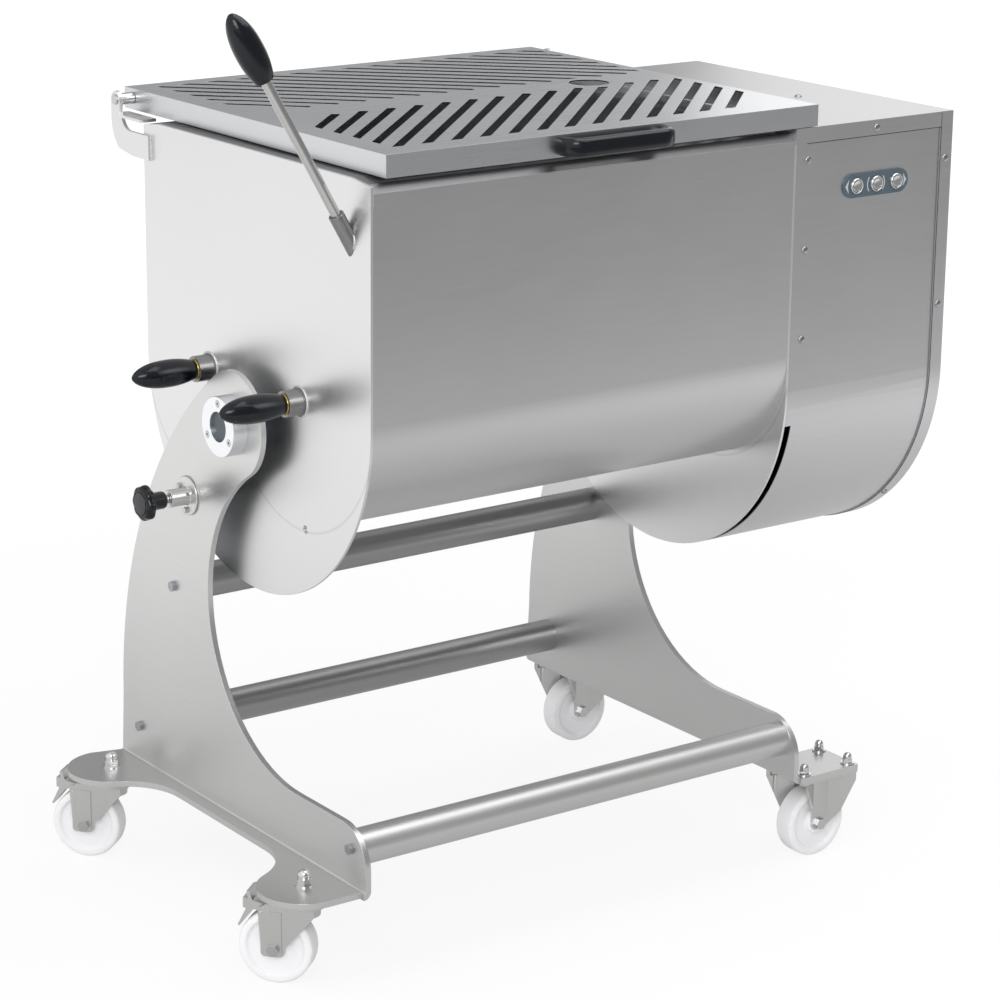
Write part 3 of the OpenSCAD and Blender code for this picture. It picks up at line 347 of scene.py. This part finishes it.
# Index plunger: a flanged steel barrel screwed to the left leg, with a pin and a moulded star knob.
# Pushed in, its pin locks the tub upright or tipped.
def moulded(name, dark, pale, rough, coat):
    """Glossy phenolic moulding with a faint cloud in its polish."""
    made, plastic, place = new_finish(name)
    cloud = plastic.node("ShaderNodeTexNoise", {}, place, Scale=70.0, Detail=2.0, Roughness=0.5, out="Fac")
    shader = plastic.node("ShaderNodeBsdfPrincipled", {}, plastic.blend(cloud, dark, pale),
                          Roughness=rough + 0.08 * (cloud - 0.5), Specular_IOR_Level=0.35,
                          Coat_Weight=coat, Coat_Roughness=0.08)
    plastic.node("ShaderNodeOutputMaterial", {}, shader)
    return made


def shaped(name, form, material, sharp=35):
    """Closes a built form into one object, with its faces turned outward."""
    bmesh.ops.recalc_face_normals(form, faces=form.faces)
    mesh = bpy.data.meshes.new(name)
    form.to_mesh(mesh)
    form.free()
    smooth_by_angle(mesh, sharp)
    mesh.materials.append(material)
    piece = bpy.data.objects.new(name, mesh)
    scene.collection.objects.link(piece)
    return piece


def turn(form, place, along, outline, steps=48, closed=False, wave=None):
    """Turns an outline of (radius, distance) pairs in mm about an axis and adds it to the form.
    A closed outline makes a ring. wave(radius, angle) may push points in or out."""
    basis = Vector(along).to_track_quat("Z", "Y").to_matrix()
    loops = []
    for radius, height in outline:
        loop = []
        for i in range(steps if radius else 1):
            angle = math.tau * i / steps
            reach = wave(radius, angle) if wave else radius
            spoke = Vector((reach * math.cos(angle), reach * math.sin(angle), height)) / 1000
            loop.append(form.verts.new(place + basis @ spoke))
        loops.append(loop)
    for low, high in list(zip(loops, loops[1:])) + ([(loops[-1], loops[0])] if closed else []):
        for i in range(steps):
            j = (i + 1) % steps
            ring = [low[i % len(low)], low[j % len(low)], high[j % len(high)], high[i % len(high)]]
            form.faces.new(list(dict.fromkeys(ring)))


def scalloped(radius, angle):
    """Eight shallow finger hollows in what lies beyond the hub of the knob."""
    hub_radius, hollow_depth = 15, 0.22
    return radius - hollow_depth * max(radius - hub_radius, 0) * (1 - math.cos(8 * angle)) / 2


eased("plunger_barrel", "plunger_barrel_turned", "frame", "brushed_sheet", leg_steel, 1.4, 3)
dress(bolt_steel, "plunger_pin")
grip_plastic = moulded("grip_plastic", (0.0015, 0.003, 0.006), (0.003, 0.005, 0.009), 0.17, 0.12)
knob_outline = ((0, 0), (9.5, 0), (11, 1.2), (12, 4), (12, 18), (13, 20.5), (17, 22), (21, 23),
                (23.4, 24.6), (24.6, 27), (24.6, 31), (23.6, 34), (21.4, 36.4), (19.0, 37.2), (17.4, 37.4),
                (16.6, 36.4), (15.8, 36.4), (15.2, 37.6), (8, 38), (0, 38))
knob_x, plunger_y, plunger_z = -36.8, 117, 559
knob = bmesh.new()
turn(knob, at(knob_x, plunger_y, plunger_z), (-1, 0, 0), knob_outline, 96, wave=scalloped)
finished(shaped("plunger_star_knob", knob, grip_plastic, 50), "plunger", "black_grip", "plunger_knob")

# Casters: pressed steel forks, two that swivel and brake and two that are fixed to plates, with
# chromed dome nuts on top of the flanges.
fork_steel = brushed("fork_steel", "z", (0.62, 0.62, 0.61), (0.72, 0.72, 0.71), 0.34, 0.02)
for end in ("front", "rear"):
    eased(f"{end}_swivel_fork", f"{end}_swivel_pressing", f"{end}_swivel", "brushed_sheet", fork_steel, 0.6)
    eased(f"{end}_fixed_fork", f"{end}_fixed_pressing", "frame", "brushed_sheet", fork_steel, 0.6)
    eased(f"{end}_brake_pedal", f"{end}_brake_lever", f"{end}_brake", "brushed_sheet", fork_steel, 0.6)
    eased(f"{end}_swivel_axle", f"{end}_swivel_axle_bolt", f"{end}_swivel", "bright_steel", bolt_steel, 0.6)
chrome = polished("chrome_nut", (0.62, 0.62, 0.62), (0.76, 0.76, 0.76), 0.10)
eased("caster_cap_nuts", "caster_dome_nuts", "frame", "bright_steel", chrome, 0.5)
eased("fixed_caster_bolts", "fixed_caster_dome_nuts", "frame", "bright_steel", chrome, 0.5)

# Doublers: thin plates of the fork's own steel, spot-welded over its flared wings, where the wings
# make room for the bolt heads. Each fixed fork has four.
fork_x, fork_side = 780.25, 276
wing_root, wing_flare = (14, -18.5, 0), math.radians(-30)
doubler_middle, doubler_size = (28.25, -3.35, 117.25), (15.5, 0.7, 11.5)
doublers = bmesh.new()
for side in (-fork_side, fork_side):
    for half_turn in (0, math.pi):
        for hand in (-1, 1):
            fork = Matrix.Translation(at(fork_x, side, 0)) @ Matrix.Rotation(half_turn, 4, "Z")
            wing = (Matrix.Diagonal((hand / 1000, 0.001, 0.001, 1)) @ Matrix.Translation(wing_root)
                    @ Matrix.Rotation(wing_flare, 4, "Z"))
            doubler = Matrix.Translation(doubler_middle) @ Matrix.Diagonal((*doubler_size, 1))
            bmesh.ops.create_cube(doublers, size=1, matrix=fork @ wing @ doubler)
finished(shaped("fork_wing_doublers", doublers, fork_steel), "frame", "brushed_sheet")

# Wheels: white nylon, turned with a round-edged tread, each on a bolt through its fork.
# The nylon is matt, with a faint cloud.
wheel_nylon, nylon, nylon_place = new_finish("wheel_nylon")
nylon_cloud = nylon.node("ShaderNodeTexNoise", {}, nylon_place,
                         Scale=60.0, Detail=3.0, Roughness=0.6, out="Fac")
nylon.node("ShaderNodeOutputMaterial", {}, nylon.node(
    "ShaderNodeBsdfPrincipled", {}, nylon.blend(nylon_cloud, (0.95, 0.95, 0.97), (0.98, 0.98, 0.99)),
    Roughness=0.38 + 0.1 * (nylon_cloud - 0.5)))
for side in ("left_front", "left_rear", "right_front", "right_rear"):
    eased(f"{side}_wheel", f"{side}_nylon_wheel", f"{side}_roll", "white_wheel", wheel_nylon, 2.6, 4)


# Tub: end plate, trough sheet with two round lobes, folded rim and bulkhead, all of stainless sheet,
# welded together and brushed along the trough. Inside and on the rim's top the steel is painted darker, as
# painted shade.
def shade(piece, material, where):
    """Gives the faces for which where(middle, normal) holds a second material."""
    piece.data.materials.append(material)
    for face in piece.data.polygons:
        if where(face.center, face.normal):
            face.material_index = len(piece.data.materials) - 1


lobe_side, lobe_height, lobe_radius = 111, 733, 170
wall_middle = 800


def shaded_trough_face(middle, normal):
    """Whether a face of the trough looks in at its own lobe, and isn't a cut end."""
    inward = at(0, math.copysign(lobe_side, middle.y - corner.y), wall_middle) - middle
    inward.x = 0
    return normal.dot(inward) > 0 and abs(normal.x) < 0.5


plate_steel = brushed("plate_steel", "z", (0.76, 0.76, 0.76), (0.82, 0.82, 0.82), 0.35, 0.03,
                      lobes=[(side, lobe_height, lobe_radius) for side in (-lobe_side, lobe_side)])
eased("left_end_plate", "end_plate", "tub", "brushed_sheet", plate_steel, 0.5)
trough_steel = brushed("trough_steel", "x", (0.60, 0.60, 0.61), (0.66, 0.66, 0.67), 0.34, 0.02)
trough = eased("trough", "trough_sheet", "tub", "brushed_sheet", trough_steel, 0.3)
painted_inside_shade = brushed("painted_inside_shade", "x", (0.42, 0.43, 0.44), (0.50, 0.51, 0.52), 0.34, 0.02)
# Painted shade: the trough's inner faces get the darker steel.
shade(trough, painted_inside_shade, shaded_trough_face)
rim = eased("tub_rim", "folded_rim", "tub", "brushed_sheet", trough_steel, 0.6)
# Painted shade: the rim's flat top, under the lid's edge, is painted nearly black.
rim_shade = brushed("painted_rim_shade", "x", (0.24, 0.24, 0.25), (0.30, 0.30, 0.31), 0.40, 0.02)
shade(rim, rim_shade, lambda middle, normal: normal.z > 0.4)
eased("bulkhead", "bulkhead_plate", "tub", "brushed_sheet", plate_steel, 0.4)

# Drive housing: a wrapped sheet, a folded top cover and a dished end cover, of the same brushed
# stainless sheet as the trough, held together by pan-head screws.
eased("housing_wrap", "housing_sheet", "tub", "brushed_sheet", trough_steel, 0.3)
eased("housing_top", "housing_lid", "tub", "brushed_sheet", trough_steel, 1.6, 3)
eased("end_cover", "dished_cover", "tub", "brushed_sheet", trough_steel, 2.0, 3)


# Housing screws: slotted pan-head steel screws through the covers' edges, seven on each side and
# one on top. A tree cuts one screw's slot, sets it out on its stations and turns each by chance.
def group(name, inputs):
    """A geometry tree with a Geometry input, the named inputs and a Geometry output."""
    tree = bpy.data.node_groups.new(name, "GeometryNodeTree")
    tree.interface.new_socket("Geometry", in_out="OUTPUT", socket_type="NodeSocketGeometry")
    tree.interface.new_socket("Geometry", in_out="INPUT", socket_type="NodeSocketGeometry")
    for label in inputs:
        tree.interface.new_socket(label, in_out="INPUT", socket_type="NodeSocketFloat")
    wiring = Wiring(tree)
    given = tree.nodes.new("NodeGroupInput")
    return tree, wiring, [Tone(wiring, socket) for socket in given.outputs[:len(inputs) + 1]]


def grown(name, points, edges, facings, tree, sizes, material, sharp=35):
    """Runs a geometry tree over points and returns the mesh it grows as one object."""
    mesh = bpy.data.meshes.new(name + "_points")
    mesh.from_pydata(points, edges, [])
    if facings:
        facing = mesh.attributes.new("facing", "FLOAT_VECTOR", "POINT")
        facing.data.foreach_set("vector", [part for way in facings for part in way])
    piece = bpy.data.objects.new(name, mesh)
    scene.collection.objects.link(piece)
    modifier = piece.modifiers.new("grow", "NODES")
    modifier.node_group = tree
    for item in tree.interface.items_tree:
        if item.in_out == "INPUT" and item.name in sizes:
            modifier[item.identifier] = sizes[item.name]
    settled(piece, modifier, material)
    smooth_by_angle(piece.data, sharp)
    return piece


screw_tree, screw, (holes, width, dome, gap) = group(
    "pan_screws", ("Head Width", "Dome Height", "Slot Width"))
head_size = screw.node("ShaderNodeCombineXYZ", {}, width, width, dome * 2)
head = screw.node("GeometryNodeMeshUVSphere", {}, 24, 16, 0.5)
head = screw.node("GeometryNodeTransform", {}, Geometry=head, Scale=head_size)
cut_size = screw.node("ShaderNodeCombineXYZ", {}, width * 1.2, gap, dome)
cut = screw.node("GeometryNodeMeshCube", {}, cut_size)
cut_lift = screw.node("ShaderNodeCombineXYZ", {}, 0.0, 0.0, dome * 1.1)
cut = screw.node("GeometryNodeTransform", {}, Geometry=cut, Translation=cut_lift)
carved = screw.node("GeometryNodeMeshBoolean", {"operation": "DIFFERENCE"}, Mesh_1=head, Mesh_2=cut)
way_out = screw.node("GeometryNodeInputNamedAttribute", {"data_type": "FLOAT_VECTOR"}, Name="facing")
upright = screw.node("FunctionNodeAlignRotationToVector", {"axis": "Z"}, Vector=way_out)
set_out = screw.node("GeometryNodeInstanceOnPoints", {}, Points=holes, Instance=carved, Rotation=upright)
driven = screw.node("FunctionNodeRandomValue", {"data_type": "FLOAT"}, Min=-0.9, Max=0.9, Seed=4)
twist = screw.node("ShaderNodeCombineXYZ", {}, 0.0, 0.0, driven)
set_out = screw.node("GeometryNodeRotateInstances", {}, Instances=set_out, Rotation=twist)
all_screws = screw.node("GeometryNodeRealizeInstances", {}, set_out)
all_screws = screw.node("GeometryNodeSetMaterial", {}, all_screws, Material=bolt_steel)
screw.node("NodeGroupOutput", {}, all_screws)

# Each screw's station, and how far its head is turned down from upright, on one side.
wrap_x, cover_x, sideways = 733, 980, 90
side_screws = [(wrap_x, 274, z, sideways) for z in (754, 877, 999)]
side_screws += [(cover_x, 276, z, sideways) for z in (773, 978)]
side_screws += [(852, 276, 1032, sideways), (cover_x, 186.5, 479.5, 137.5)]
spots, facings = [], []
for side in (-1, 1):
    for x, y, z, turned_down in side_screws:
        spots.append(at(x, side * y, z))
        angle = math.radians(turned_down)
        facings.append((0, side * math.sin(angle), math.cos(angle)))
spots.append(at(892, -69, 1043))
facings.append((0, 0, 1))
screws = grown("housing_pan_screws", spots, [], facings, screw_tree,
               {"Head Width": 0.0106, "Dome Height": 0.0027, "Slot Width": 0.0016}, head_steel)
finished(screws, "tub", "bright_steel", "housing_screws")


# Seams of the housing: the dark hairline where the end cover meets the wrapped sheet, and the one
# under the top cover's skirt on each side. Each is a thin dark strip, painted shade of its joint.
def lofted(form, loops):
    """Adds walls between neighbouring loops of points, and a face on each end loop."""
    for low, high in zip(loops, loops[1:]):
        for i in range(len(low)):
            j = (i + 1) % len(low)
            form.faces.new((low[i], low[j], high[j], high[i]))
    form.faces.new(loops[0])
    form.faces.new(loops[-1])


# Painted shade: the seams' strips are nearly black.
painted_seam_shade = moulded("seam_shadow", (0.03, 0.03, 0.035), (0.05, 0.05, 0.055), 0.6, 0.0)
seam_x, half_seam, sunk, proud = 971, 0.45, -0.4, 0.12
wrap_radius, tilt_height, wrap_top = 276, 683, 1041
around = [(-wrap_radius, wrap_top, -90), (-wrap_radius, tilt_height, -90)]
for bend in range(3, 180, 3):
    angle = math.radians(bend)
    around.append((-wrap_radius * math.cos(angle), tilt_height - wrap_radius * math.sin(angle), -90 - bend))
around += [(wrap_radius, tilt_height, -270), (wrap_radius, wrap_top, -270)]
strip = bmesh.new()
rows = []
for y, z, turned_down in around:
    out_y, out_z = math.sin(math.radians(turned_down)), math.cos(math.radians(turned_down))
    rows.append([strip.verts.new(at(seam_x + along, y + out_y * lift, z + out_z * lift))
                 for along, lift in ((-half_seam, sunk), (half_seam, sunk),
                                     (half_seam, proud), (-half_seam, proud))])
lofted(strip, rows)
finished(shaped("cover_seam", strip, painted_seam_shade), "tub", "black_grip")
skirt_shadow = bmesh.new()
for side in (-1, 1):
    low, high = at(729, side * 276.12, 1021.2), at(970.5, side * 275.2, 1022.2)
    extent = [abs(b - a) for a, b in zip(low, high)]
    bmesh.ops.create_cube(skirt_shadow, size=1, matrix=Matrix.Translation((low + high) / 2)
                          @ Matrix.Diagonal((*extent, 1)))
finished(shaped("top_skirt_seam", skirt_shadow, painted_seam_shade), "tub", "black_grip")

# Controls: three chromed push-buttons with dished caps, in a blue-grey anodised plate on the
# housing's front.
control_face, anodised, control_place = new_finish("control_face")
control_cloud = anodised.node("ShaderNodeTexNoise", {}, control_place,
                              Scale=300.0, Detail=2.0, Roughness=0.5, out="Fac")
anodised.node("ShaderNodeOutputMaterial", {}, anodised.node(
    "ShaderNodeBsdfPrincipled", {}, anodised.blend(control_cloud, (0.10, 0.14, 0.17), (0.13, 0.17, 0.20)),
    Metallic=0.3, Roughness=0.36 + 0.1 * (control_cloud - 0.5)))
eased("control_plate", "control_plate_face", "tub", "control_face", control_face, 0.4)
button_x, button_pitch, button_z = 854.0, 35.7, 956
cap_outline = ((0, -3), (11, -3), (11, 2.6), (10.6, 3.5), (9.9, 4.0), (9.1, 3.9), (8.6, 3.2), (8.3, 1.8),
               (7.7, 1.7), (7.3, 2.8), (6.6, 3.2), (5.6, 3.0), (3, 2.5), (0, 2.3))
for press, along in (("start", -1), ("stop", 0), ("reverse", 1)):
    cap = bmesh.new()
    turn(cap, at(button_x + along * button_pitch, -276.5, button_z), (0, -1, 0), cap_outline)
    finished(shaped(f"{press}_button_cap", cap, chrome, 40),
             f"{press}_press", "bright_steel", f"{press}_button")

# Marks beside the buttons: pale paint on the control plate, with a plain arrowhead beyond the
# left and right button and two arcs beside the middle one.
mark_paint = moulded("mark_paint", (0.50, 0.54, 0.55), (0.56, 0.60, 0.61), 0.5, 0.0)
arrow_gap, arrow_long, arrow_half, arrow_notch = 13.0, 6.5, 9.5, 2.0
arc_outer, arc_inner = 16.2, 14.6
print_back, print_front = -276.3, -276.62
marks = bmesh.new()


def flat_mark(outline):
    """A thin raised print from an outline of (x, z) stations on the control plate."""
    lofted(marks, [[marks.verts.new(at(x, y, z)) for x, z in outline]
                   for y in (print_back, print_front)])


for side in (-1, 1):
    root = button_x + side * (button_pitch + arrow_gap)
    flat_mark(((root, button_z + arrow_half), (root + side * arrow_long, button_z),
               (root, button_z - arrow_half), (root + side * arrow_notch, button_z)))
    sweep = [math.radians(a) for a in range(-38, 39, 4)]
    flat_mark([(button_x + side * radius * math.cos(a), button_z + radius * math.sin(a))
               for radius, angles in ((arc_outer, sweep), (arc_inner, sweep[::-1])) for a in angles])
finished(shaped("control_marks", marks, mark_paint), "tub", "control_face")

# Lid: one folded stainless panel, laser cut with two rows of slanted slots and a round hole.
# Its top is painted lighter than its skirt, as painted light; the slots' cut walls are painted dark, as
# painted shade, and so is its underside.
lid_steel = brushed("lid_steel", "x", (0.64, 0.65, 0.665), (0.70, 0.71, 0.725), 0.30, 0.02)
lid = eased("lid_panel", "slotted_lid", "lid", "brushed_sheet", lid_steel, 0.5)
# Painted shade: the slots' cut walls are painted nearly black.
slot_shade = brushed("painted_slot_shade", "z", (0.04, 0.045, 0.05), (0.07, 0.075, 0.08), 0.5, 0.02)
# Painted light: the lid's upward faces are painted lighter than its skirt.
lit_lid_top = brushed("painted_light_lid_top", "x", (0.80, 0.81, 0.83), (0.86, 0.87, 0.89), 0.30, 0.02)
near, far = at(58, -273, 0), at(742, 361, 0)


def in_slots(middle, normal):
    """Whether a face is an upright wall inside the lid's own skirt, as the slots' walls are."""
    return abs(normal.z) < 0.3 and near.x < middle.x < far.x and near.y < middle.y < far.y


shade(lid, slot_shade, in_slots)
# Painted shade: the lid's underside gets the darker steel of the tub's inside.
shade(lid, painted_inside_shade, lambda middle, normal: normal.z < -0.5)
shade(lid, lit_lid_top, lambda middle, normal: normal.z > 0.9)

# Lid handle: a moulded black bow with rounded corners, screwed to the front of the lid's skirt.
# Its section is a softened oblong, swept along the bow.
bow_left, bow_right, bow_height = 321.0, 479.0, 1058.5
bow_corner, bow_y, skirt_y, bow_start = 18, -283.5, -276.5, -281.0
half_thick, half_tall, softness, sides = 10, 12, 0.62, 28
corner_angles = [math.radians(a) for a in range(0, 91, 10)]
bow = [(bow_left, skirt_y), (bow_left, bow_start)]
bow += [(bow_left + bow_corner * (1 - math.cos(a)), bow_y - bow_corner * math.sin(a))
        for a in corner_angles]
bow += [(x, bow_y - bow_corner) for x in (370, 400, 430)]
bow += [(bow_right - bow_corner * (1 - math.sin(a)), bow_y - bow_corner * math.cos(a))
        for a in corner_angles]
bow += [(bow_right, bow_start), (bow_right, skirt_y)]


def softened(value):
    """A sine or cosine that fills the corners of an oblong section."""
    return math.copysign(abs(value) ** softness, value)


handle = bmesh.new()
rings = []
for i, (x, y) in enumerate(bow):
    ahead, behind = bow[min(i + 1, len(bow) - 1)], bow[max(i - 1, 0)]
    course = Vector((ahead[0] - behind[0], ahead[1] - behind[1])).normalized()
    ring = []
    for k in range(sides):
        angle = math.tau * k / sides
        across = half_thick * softened(math.cos(angle))
        up = half_tall * softened(math.sin(angle))
        ring.append(handle.verts.new(at(x + across * course.y, y - across * course.x, bow_height + up)))
    rings.append(ring)
lofted(handle, rings)
finished(shaped("lid_bridge_handle", handle, grip_plastic, 50), "lid", "black_grip", "lid_handle")

# Hinge: two bent steel arms welded to the tub, and the bright steel pins that the lid swings on.
# The pins' heads are turned.
eased("hinge_brackets", "hinge_arms", "tub", "brushed_sheet", plate_steel, 0.6)
eased("hinge_pins", "hinge_pin_heads", "tub", "bright_steel", bolt_steel, 0.5)

# Tilt lever: a turned steel socket welded to the end plate, a bright rod, and a black tapered grip
# moulded on its end.
dark_steel = polished("turned_dark_steel", (0.24, 0.24, 0.24), (0.33, 0.33, 0.33), 0.30)
eased("lever_socket", "lever_socket_turned", "tub", "brushed_sheet", dark_steel, 0.8)
dress(bolt_steel, "lever_rod")
eased("lever_grip", "lever_grip_turned", "tub", "black_grip", grip_plastic, 0.4, 2, 40)

# Removable shaft ends: a turned steel boss welded to the end plate, a pull-out steel stub axle and
# a black tapered grip each.
eased("release_bosses", "release_boss_tubes", "tub", "brushed_sheet", dark_steel, 0.9)
dress(bolt_steel, "front_release_pin", "rear_release_pin")
for end in ("front", "rear"):
    eased(f"{end}_release_grip", f"{end}_release_handle", f"{end}_release",
          "black_grip", grip_plastic, 0.4, 2, 40)

# Weld beads: bright steel, round both release bosses and the lever socket, at the hinge arm and at
# the trough's corner. Small overlapping drops, as a hand-held torch leaves them.
bead_tree, bead, (seams, bead_width, pitch) = group("weld_beads", ("Bead Width", "Bead Pitch"))
path = bead.node("GeometryNodeResampleCurve", {"mode": "LENGTH"},
                 Curve=bead.node("GeometryNodeMeshToCurve", {}, seams), Length=pitch)
drop = bead.node("GeometryNodeMeshIcoSphere", {}, Radius=bead_width * 0.5, Subdivisions=2)
laid = bead.node("GeometryNodeInstanceOnPoints", {}, Points=path, Instance=drop)
sway = bead.node("FunctionNodeRandomValue", {"data_type": "FLOAT"}, Min=0.86, Max=1.14, Seed=7)
swell = bead.node("ShaderNodeCombineXYZ", {}, sway, sway, sway)
laid = bead.node("GeometryNodeScaleInstances", {}, Instances=laid, Scale=swell)
all_drops = bead.node("GeometryNodeRealizeInstances", {}, laid)
all_drops = bead.node("GeometryNodeSetMaterial", {}, all_drops, Material=chrome)
bead.node("NodeGroupOutput", {}, all_drops)
stations, joins = [], []


def seam_line(points, closed=False):
    """Adds a run of stations that the torch follows."""
    first = len(stations)
    stations.extend(points)
    joins.extend((i, i + 1) for i in range(first, len(stations) - 1))
    if closed:
        joins.append((len(stations) - 1, first))


def seam_round(x, y, z, reach_y, reach_z, count):
    """Adds a closed run about a boss that stands on the end plate."""
    angles = [math.tau * i / count for i in range(count)]
    seam_line([at(x, y + reach_y * math.cos(a), z + reach_z * math.sin(a)) for a in angles], True)


boss_radius, socket_y, socket_z = 20.2, -230, 962
arm_y, corner_y = 255, -274
for side in (-lobe_side, lobe_side):
    seam_round(32.6, side, lobe_height, boss_radius, boss_radius, 40)
seam_line([at(32.4, arm_y, z) for z in range(990, 1023, 2)])
seam_line([at(37.5, corner_y, z) for z in range(1012, 1026, 2)])
seam_round(32.8, socket_y, socket_z, 10.6, 12, 24)
beads = grown("weld_bead_rows", stations, joins, None, bead_tree,
              {"Bead Width": 0.0026, "Bead Pitch": 0.0011}, chrome, 60)
finished(beads, "tub", "bright_steel")

# Release collars: a thin turned brass ring between each release grip and its boss.
# It is pressed on the stub axle and comes out with it.
brass = polished("brass", (0.55, 0.38, 0.12), (0.66, 0.48, 0.18), 0.25)
collar_outline = ((12.0, -1.2), (13.6, -1.2), (14.1, -0.4), (14.1, 0.4), (13.6, 1.2), (12.0, 1.2))
for end, side in (("front", -lobe_side), ("rear", lobe_side)):
    collar = bmesh.new()
    turn(collar, at(8.9, side, lobe_height), (-1, 0, 0), collar_outline, 40, True)
    finished(shaped(f"{end}_release_collar", collar, brass), f"{end}_release", "bright_steel")

# Index hole plug: a thin steel disc welded behind the hole that the plunger finds when the tub is
# tipped by a quarter turn, so no light comes through it.
plug_place = at(37.2, plunger_z - tilt_height, tilt_height - plunger_y)
plug = bmesh.new()
turn(plug, plug_place, (1, 0, 0), ((0, 0), (8, 0), (8, 1.2), (0, 1.2)), 32)
finished(shaped("index_hole_plug", plug, plate_steel), "tub", "brushed_sheet")

# Inside: two stainless paddle shafts in the tub, and steel gears, an enamelled gearbox and its
# motor in the housing.
# Painted shade: the paddle shafts get the darker steel painted for the tub's inside.
dress(painted_inside_shade, "front_agitator", "rear_agitator")
dress(bolt_steel, "shaft_bearings", "drive_posts")
dress(pin_steel, "front_gear", "rear_gear")
enamel = moulded("drive_enamel", (0.10, 0.12, 0.14), (0.13, 0.15, 0.17), 0.45, 0.1)
dress(enamel, "gearbox", "motor")
